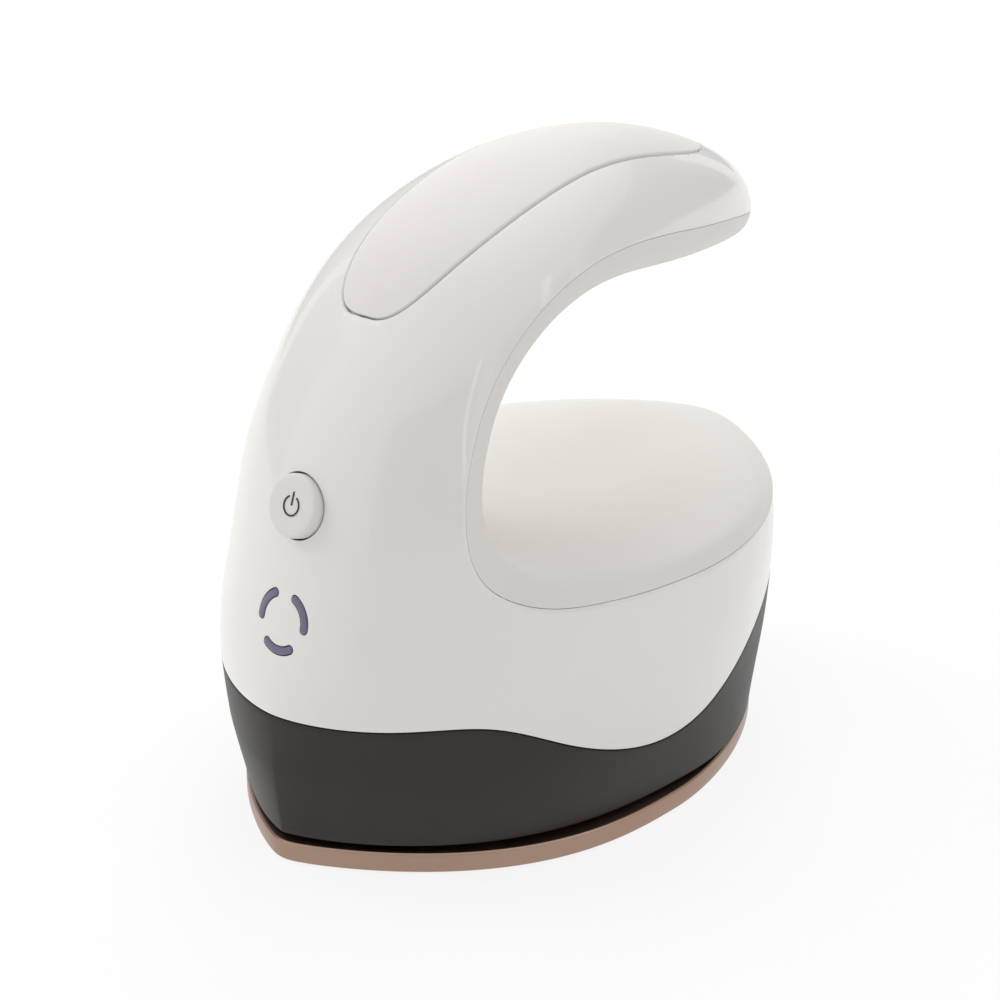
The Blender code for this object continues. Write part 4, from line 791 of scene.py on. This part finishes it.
def new_socket(group, name, kind, value=None, output=False):
    made = group.interface.new_socket(name=name, in_out="OUTPUT" if output else "INPUT", socket_type=kind)
    if value is not None:
        made.default_value = value


def grain_group():
    """Fine moulded grain: a height and a soft mask from two sizes of noise."""
    group = bpy.data.node_groups.new("fine_grain", "ShaderNodeTree")
    new_socket(group, "Vector", "NodeSocketVector")
    new_socket(group, "Size", "NodeSocketFloat", 900.0)
    new_socket(group, "Height", "NodeSocketFloat", output=True)
    new_socket(group, "Mask", "NodeSocketFloat", output=True)
    nodes, links = group.nodes, group.links
    start, end = nodes.new("NodeGroupInput"), nodes.new("NodeGroupOutput")
    fine = nodes.new("ShaderNodeTexNoise")
    fine.inputs["Detail"].default_value = 3.0
    coarse = nodes.new("ShaderNodeTexNoise")
    coarse.inputs["Detail"].default_value = 4.0
    divide = nodes.new("ShaderNodeMath")
    divide.operation = "MULTIPLY"
    divide.inputs[1].default_value = 0.06
    links.new(start.outputs["Vector"], fine.inputs["Vector"])
    links.new(start.outputs["Vector"], coarse.inputs["Vector"])
    links.new(start.outputs["Size"], fine.inputs["Scale"])
    links.new(start.outputs["Size"], divide.inputs[0])
    links.new(divide.outputs[0], coarse.inputs["Scale"])
    links.new(fine.outputs["Fac"], end.inputs["Height"])
    links.new(coarse.outputs["Fac"], end.inputs["Mask"])
    return group


def marks_group():
    """Faint handling marks: smudges broken by hair scratches, as one mask."""
    group = bpy.data.node_groups.new("handling_marks", "ShaderNodeTree")
    new_socket(group, "Vector", "NodeSocketVector")
    new_socket(group, "Amount", "NodeSocketFloat", 0.5)
    new_socket(group, "Mask", "NodeSocketFloat", output=True)
    nodes, links = group.nodes, group.links
    start, end = nodes.new("NodeGroupInput"), nodes.new("NodeGroupOutput")
    smudge = nodes.new("ShaderNodeTexNoise")
    smudge.inputs["Scale"].default_value = 38.0
    smudge.inputs["Detail"].default_value = 5.0
    smudge.inputs["Distortion"].default_value = 0.4
    ramp = nodes.new("ShaderNodeMapRange")
    ramp.inputs["From Min"].default_value = 0.42
    ramp.inputs["From Max"].default_value = 0.74
    stretch = nodes.new("ShaderNodeMapping")
    stretch.inputs["Rotation"].default_value = (0.4, 0.9, 0.3)
    stretch.inputs["Scale"].default_value = (60.0, 1400.0, 60.0)
    hair = nodes.new("ShaderNodeTexNoise")
    hair.inputs["Scale"].default_value = 1.0
    hair.inputs["Detail"].default_value = 2.0
    thin = nodes.new("ShaderNodeMapRange")
    thin.inputs["From Min"].default_value = 0.66
    thin.inputs["From Max"].default_value = 0.74
    joined = nodes.new("ShaderNodeMath")
    joined.operation = "MAXIMUM"
    scaled = nodes.new("ShaderNodeMath")
    scaled.operation = "MULTIPLY"
    links.new(start.outputs["Vector"], smudge.inputs["Vector"])
    links.new(start.outputs["Vector"], stretch.inputs["Vector"])
    links.new(stretch.outputs["Vector"], hair.inputs["Vector"])
    links.new(smudge.outputs["Fac"], ramp.inputs["Value"])
    links.new(hair.outputs["Fac"], thin.inputs["Value"])
    links.new(ramp.outputs["Result"], joined.inputs[0])
    links.new(thin.outputs["Result"], joined.inputs[1])
    links.new(joined.outputs[0], scaled.inputs[0])
    links.new(start.outputs["Amount"], scaled.inputs[1])
    links.new(scaled.outputs[0], end.inputs["Mask"])
    return group


def brush_group():
    """Fine streaks along X, as on brushed or rolled metal."""
    group = bpy.data.node_groups.new("brushed_streaks", "ShaderNodeTree")
    new_socket(group, "Vector", "NodeSocketVector")
    new_socket(group, "Height", "NodeSocketFloat", output=True)
    nodes, links = group.nodes, group.links
    start, end = nodes.new("NodeGroupInput"), nodes.new("NodeGroupOutput")
    stretch = nodes.new("ShaderNodeMapping")
    stretch.inputs["Scale"].default_value = (90.0, 260.0, 5200.0)
    noise = nodes.new("ShaderNodeTexNoise")
    noise.inputs["Scale"].default_value = 1.0
    noise.inputs["Detail"].default_value = 4.0
    links.new(start.outputs["Vector"], stretch.inputs["Vector"])
    links.new(stretch.outputs["Vector"], noise.inputs["Vector"])
    links.new(noise.outputs["Fac"], end.inputs["Height"])
    return group


FINE_GRAIN, HANDLING_MARKS, BRUSHED = grain_group(), marks_group(), brush_group()


def finish(name, colour, other, roughness, spread, grain, bump, metallic=0.0, marks=0.4, coat=0.0, coat_roughness=0.06,
           brushed=False, gloss=0.5):
    """A moulded, painted or metal finish: two near colours, a roughness that varies and a fine bump."""
    made = bpy.data.materials.new(name)
    made.use_nodes = True
    nodes, links = made.node_tree.nodes, made.node_tree.links
    shader = nodes["Principled BSDF"]
    shader.inputs["Metallic"].default_value = metallic
    shader.inputs["Specular IOR Level"].default_value = gloss
    shader.inputs["Coat Weight"].default_value = coat
    shader.inputs["Coat Roughness"].default_value = coat_roughness
    place = nodes.new("ShaderNodeTexCoord").outputs["Object"]
    texture = nodes.new("ShaderNodeGroup")
    texture.node_tree = FINE_GRAIN
    texture.inputs["Size"].default_value = grain
    links.new(place, texture.inputs["Vector"])
    mix = nodes.new("ShaderNodeMix")
    mix.data_type = "RGBA"
    mix.inputs[6].default_value = (*colour, 1.0)
    mix.inputs[7].default_value = (*other, 1.0)
    links.new(texture.outputs["Mask"], mix.inputs[0])
    links.new(mix.outputs[2], shader.inputs["Base Color"])
    handled = nodes.new("ShaderNodeGroup")
    handled.node_tree = HANDLING_MARKS
    handled.inputs["Amount"].default_value = marks
    links.new(place, handled.inputs["Vector"])
    spread_out = nodes.new("ShaderNodeMapRange")
    spread_out.inputs["To Min"].default_value = roughness
    spread_out.inputs["To Max"].default_value = roughness + spread
    links.new(handled.outputs["Mask"], spread_out.inputs["Value"])
    links.new(spread_out.outputs["Result"], shader.inputs["Roughness"])
    raised = nodes.new("ShaderNodeBump")
    raised.inputs["Strength"].default_value = bump
    raised.inputs["Distance"].default_value = 0.0002
    if brushed:
        streaks = nodes.new("ShaderNodeGroup")
        streaks.node_tree = BRUSHED
        links.new(place, streaks.inputs["Vector"])
        links.new(streaks.outputs["Height"], raised.inputs["Height"])
    else:
        links.new(texture.outputs["Height"], raised.inputs["Height"])
    links.new(raised.outputs["Normal"], shader.inputs["Normal"])
    return made


def gloss_white():
    return finish("gloss_white", (0.80, 0.788, 0.765), (0.815, 0.803, 0.78), 0.3, 0.08, 260.0, 0.012, coat=0.7)


def matte_white():
    return finish("matte_white", (0.745, 0.73, 0.705), (0.765, 0.75, 0.725), 0.55, 0.08, 2600.0, 0.10)


def soft_pad():
    return finish("soft_pad", (0.755, 0.74, 0.72), (0.78, 0.765, 0.742), 0.68, 0.08, 3200.0, 0.14)


def dark_satin():
    return finish("dark_satin", (0.027, 0.025, 0.0225), (0.034, 0.0315, 0.029), 0.42, 0.1, 2800.0, 0.12,
                  gloss=0.25)


def rose_gold():
    return finish("rose_gold", (0.35, 0.235, 0.18), (0.41, 0.28, 0.215), 0.33, 0.12, 700.0, 0.10, metallic=1.0,
                  brushed=True)


def violet_lens():
    return finish("violet_lens", (0.085, 0.065, 0.16), (0.13, 0.105, 0.215), 0.22, 0.06, 500.0, 0.01, coat=1.0)


def plain_finishes():
    """Finishes of the pieces inside and of the small trim."""
    return {
        "brown_silicone": finish("brown_silicone", (0.030, 0.014, 0.010), (0.045, 0.022, 0.015), 0.5, 0.1, 1500.0, 0.1),
        "mica_sheet": finish("mica_sheet", (0.42, 0.36, 0.26), (0.62, 0.55, 0.42), 0.4, 0.2, 420.0, 0.2),
        "sheet_steel": finish("sheet_steel", (0.56, 0.56, 0.55), (0.64, 0.64, 0.63), 0.3, 0.15, 600.0, 0.1, 1.0,
                              brushed=True),
        "black_steel": finish("black_steel", (0.05, 0.05, 0.05), (0.08, 0.08, 0.08), 0.4, 0.1, 900.0, 0.1, 0.8),
        "board_green": finish("board_green", (0.01, 0.09, 0.035), (0.02, 0.16, 0.06), 0.35, 0.1, 500.0, 0.15, coat=0.4),
        "black_plastic": finish("black_plastic", (0.018, 0.018, 0.018), (0.03, 0.03, 0.03), 0.45, 0.1, 1800.0, 0.1),
        "blue_plastic": finish("blue_plastic", (0.03, 0.09, 0.32), (0.05, 0.13, 0.40), 0.4, 0.1, 900.0, 0.05),
        "yellow_tape": finish("yellow_tape", (0.62, 0.46, 0.06), (0.72, 0.55, 0.10), 0.35, 0.1, 700.0, 0.1),
        "white_ceramic": finish("white_ceramic", (0.74, 0.73, 0.70), (0.80, 0.79, 0.76), 0.3, 0.1, 1200.0, 0.05),
        "red_lead": finish("red_lead", (0.42, 0.02, 0.015), (0.52, 0.03, 0.02), 0.45, 0.1, 800.0, 0.05),
        "blue_lead": finish("blue_lead", (0.02, 0.08, 0.40), (0.03, 0.11, 0.48), 0.45, 0.1, 800.0, 0.05),
        "grey_ribbon": finish("grey_ribbon", (0.32, 0.32, 0.33), (0.42, 0.42, 0.43), 0.45, 0.1, 900.0, 0.1),
        "clear_light_guide": finish("clear_light_guide", (0.70, 0.72, 0.74), (0.80, 0.82, 0.84), 0.15, 0.1, 600.0, 0.02,
                                    coat=0.5),
    }


def sign_ink():
    return finish("sign_ink", (0.012, 0.012, 0.013), (0.022, 0.022, 0.023), 0.5, 0.1, 3000.0, 0.05)


def dress(obj, look):
    obj.data.materials.clear()
    obj.data.materials.append(look)


def make_model():
    """Builds the fine pieces, sets them on their bodies and gives the CAD nodes their finishes."""
    finishes = plain_finishes()
    white, matte, lens = gloss_white(), matte_white(), violet_lens()
    pieces = [
        (make_sole(), rose_gold(), "rose_gold_plate", "press_body", ["heat_plate"]),
        (make_gasket(), finishes["brown_silicone"], "brown_silicone", "press_body", ["plate_gasket"]),
        (make_base(), dark_satin(), "dark_satin_plastic", "press_body", ["base_shell"]),
        (make_shell(), white, "gloss_white_plastic", "press_body", ["outer_shell"]),
        (make_liner(), matte, "matte_white_plastic", "press_body", ["inner_liner"]),
        (pad_block("soft_grip_pad", -GAP / 2, 0.0, PAD_POCKET - GAP), soft_pad(), "soft_touch_pad", "press_body",
         ["grip_pad"]),
        (make_button(), matte, "matte_white_plastic", "button", ["power_button"]),
        (make_symbol(), sign_ink(), "black_plastic", "button", []),
        (make_gland(), finishes["black_plastic"], "black_plastic", "press_body", ["cord_gland"]),
    ]
    for name, angle in WINDOW_ANGLES.items():
        block = window_block(f"violet_window_{name}", angle, -GAP / 6, -WINDOW_DEPTH, WINDOW_PROUD, WINDOW_STROKE / 5)
        pieces.append((block, lens, "violet_light_window", "press_body", [f"light_window_{name}"]))
    for obj, look, slot, body, replaced in pieces:
        dress(obj, look)
        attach(obj, body)
        if replaced:
            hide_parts(*replaced)
    others = {
        "dark_satin_plastic": "black_plastic", "gloss_white_plastic": "white_ceramic",
        "matte_white_plastic": "white_ceramic", "soft_touch_pad": "white_ceramic",
        "violet_light_window": "clear_light_guide", "rose_gold_plate": "sheet_steel",
    }
    for node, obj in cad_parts.items():
        slot = obj.data.materials[0].name.split(".")[0] if obj.data.materials else "black_plastic"
        dress(obj, finishes.get(slot) or finishes[others.get(slot, "black_plastic")])


# Studio

def lamp(name, spot, target, size, power, colour=(1.0, 1.0, 1.0), mirrored=True):
    """A soft area lamp aimed at a point."""
    data = bpy.data.lights.new(name, "AREA")
    data.shape = "RECTANGLE"
    data.size, data.size_y = size
    data.energy = power
    data.color = colour
    obj = bpy.data.objects.new(name, data)
    obj.location = spot
    obj.rotation_euler = (Vector(target) - Vector(spot)).to_track_quat("-Z", "Y").to_euler()
    obj.visible_glossy = mirrored
    bpy.context.scene.collection.objects.link(obj)


def seen_directly(nodes, links):
    """One for camera, glossy and transmission rays and nought for the light that falls on the object."""
    path = nodes.new("ShaderNodeLightPath")
    total = nodes.new("ShaderNodeMath")
    total.operation = "ADD"
    total.use_clamp = True
    links.new(path.outputs["Is Camera Ray"], total.inputs[0])
    links.new(path.outputs["Is Glossy Ray"], total.inputs[1])
    other = nodes.new("ShaderNodeMath")
    other.operation = "ADD"
    other.use_clamp = True
    links.new(total.outputs[0], other.inputs[0])
    links.new(path.outputs["Is Transmission Ray"], other.inputs[1])
    return other.outputs[0]


def make_world(level):
    world = bpy.data.worlds.new("pale_studio")
    bpy.context.scene.world = world
    world.use_nodes = True
    nodes, links = world.node_tree.nodes, world.node_tree.links
    nodes.clear()
    seen, soft = nodes.new("ShaderNodeBackground"), nodes.new("ShaderNodeBackground")
    soft.inputs["Color"].default_value = (1.0, 0.985, 0.965, 1.0)
    soft.inputs["Strength"].default_value = level
    mix, out = nodes.new("ShaderNodeMixShader"), nodes.new("ShaderNodeOutputWorld")
    seen.inputs["Color"].default_value = (1.0, 1.0, 1.0, 1.0)
    links.new(seen_directly(nodes, links), mix.inputs[0])
    links.new(soft.outputs[0], mix.inputs[1])
    links.new(seen.outputs[0], mix.inputs[2])
    links.new(mix.outputs[0], out.inputs[0])


def make_floor(spread=3.0, kept=0.15):
    """A pale floor that shows white to the camera and keeps a faint share of the object's shadow."""
    bm = bmesh.new()
    bmesh.ops.create_grid(bm, x_segments=1, y_segments=1, size=spread)
    floor = finish_mesh("studio_floor", bm, smooth=False)
    look = bpy.data.materials.new("pale_floor")
    look.use_nodes = True
    nodes, links = look.node_tree.nodes, look.node_tree.links
    nodes.clear()
    matte, glow = nodes.new("ShaderNodeBsdfDiffuse"), nodes.new("ShaderNodeEmission")
    matte.inputs["Color"].default_value = (0.9, 0.9, 0.9, 1.0)
    share = nodes.new("ShaderNodeMath")
    share.operation = "MULTIPLY"
    share.inputs[1].default_value = 1.0 - kept
    mix, out = nodes.new("ShaderNodeMixShader"), nodes.new("ShaderNodeOutputMaterial")
    links.new(seen_directly(nodes, links), share.inputs[0])
    links.new(share.outputs[0], mix.inputs[0])
    links.new(matte.outputs[0], mix.inputs[1])
    links.new(glow.outputs[0], mix.inputs[2])
    clear, side = nodes.new("ShaderNodeBsdfTransparent"), nodes.new("ShaderNodeNewGeometry")
    below = nodes.new("ShaderNodeMixShader")
    links.new(side.outputs["Backfacing"], below.inputs[0])
    links.new(mix.outputs[0], below.inputs[1])
    links.new(clear.outputs[0], below.inputs[2])
    links.new(below.outputs[0], out.inputs[0])
    dress(floor, look)
    floor.location.z = -0.0002


def make_cards(level=0.42, reach=1.3, height=0.9):
    """Upright grey cards that only reflections see, with narrow gaps between them that show as soft streaks."""
    look = bpy.data.materials.new("grey_card")
    look.use_nodes = True
    nodes, links = look.node_tree.nodes, look.node_tree.links
    nodes.clear()
    glow, out = nodes.new("ShaderNodeEmission"), nodes.new("ShaderNodeOutputMaterial")
    glow.inputs["Color"].default_value = (level, level, level, 1.0)
    links.new(glow.outputs[0], out.inputs[0])
    for name, start, end in (("card_front", -82.0, -18.0), ("card_right", -8.0, 34.0), ("card_far", 42.0, 100.0),
                             ("card_back", 108.0, 170.0), ("card_left", 178.0, 214.0)):
        bm = bmesh.new()
        bmesh.ops.create_grid(bm, x_segments=16, y_segments=1, size=0.5)
        for vert in bm.verts:
            turn = math.radians(start + (end - start) * (vert.co.x + 0.5))
            vert.co = (reach * math.cos(turn), reach * math.sin(turn), height * (vert.co.y + 0.5))
        card = finish_mesh(name, bm)
        dress(card, look)
        for unseen in ("visible_camera", "visible_diffuse", "visible_transmission", "visible_shadow"):
            setattr(card, unseen, False)


def make_camera():
    """A long lens at the photograph's angle."""
    turn, rise, reach = math.radians(41.45), math.radians(22.96), 0.40446
    target = Vector((0.01068, -0.014, 0.05041))
    back = Vector((math.sin(turn) * math.cos(rise), -math.cos(turn) * math.cos(rise), math.sin(rise)))
    right = Vector((math.cos(turn), math.sin(turn), 0.0))
    data = bpy.data.cameras.new("camera")
    data.lens = 95.0
    data.sensor_width = 36.0
    data.clip_start = 0.01
    obj = bpy.data.objects.new("camera", data)
    turned_frame = Matrix((right, back.cross(right), back)).transposed().to_4x4()
    obj.matrix_world = Matrix.Translation(target + back * reach) @ turned_frame
    bpy.context.scene.collection.objects.link(obj)
    bpy.context.scene.camera = obj


def make_studio():
    make_world(0.63)
    make_floor()
    make_cards()
    aim = (0.0, 0.0, 0.045)
    lamp("key_box", (-0.74, -0.34, 0.66), aim, (0.6, 0.6), 3.4, (1.0, 0.99, 0.975), mirrored=False)
    lamp("top_box", (0.0, 0.3, 0.9), aim, (0.7, 0.7), 1.7, mirrored=False)
    lamp("rear_box", (-0.5, 0.66, 0.5), aim, (0.5, 0.5), 3.2, mirrored=False)
    lamp("side_strip_near", (0.75, -0.35, 0.35), aim, (0.04, 0.5), 0.14)
    lamp("side_strip_far", (0.62, 0.22, 0.4), aim, (0.05, 0.5), 0.14)
    scene = bpy.context.scene
    scene.view_settings.view_transform = "Standard"


make_camera()
make_model()
make_studio()

bpy.context.view_layer.update()
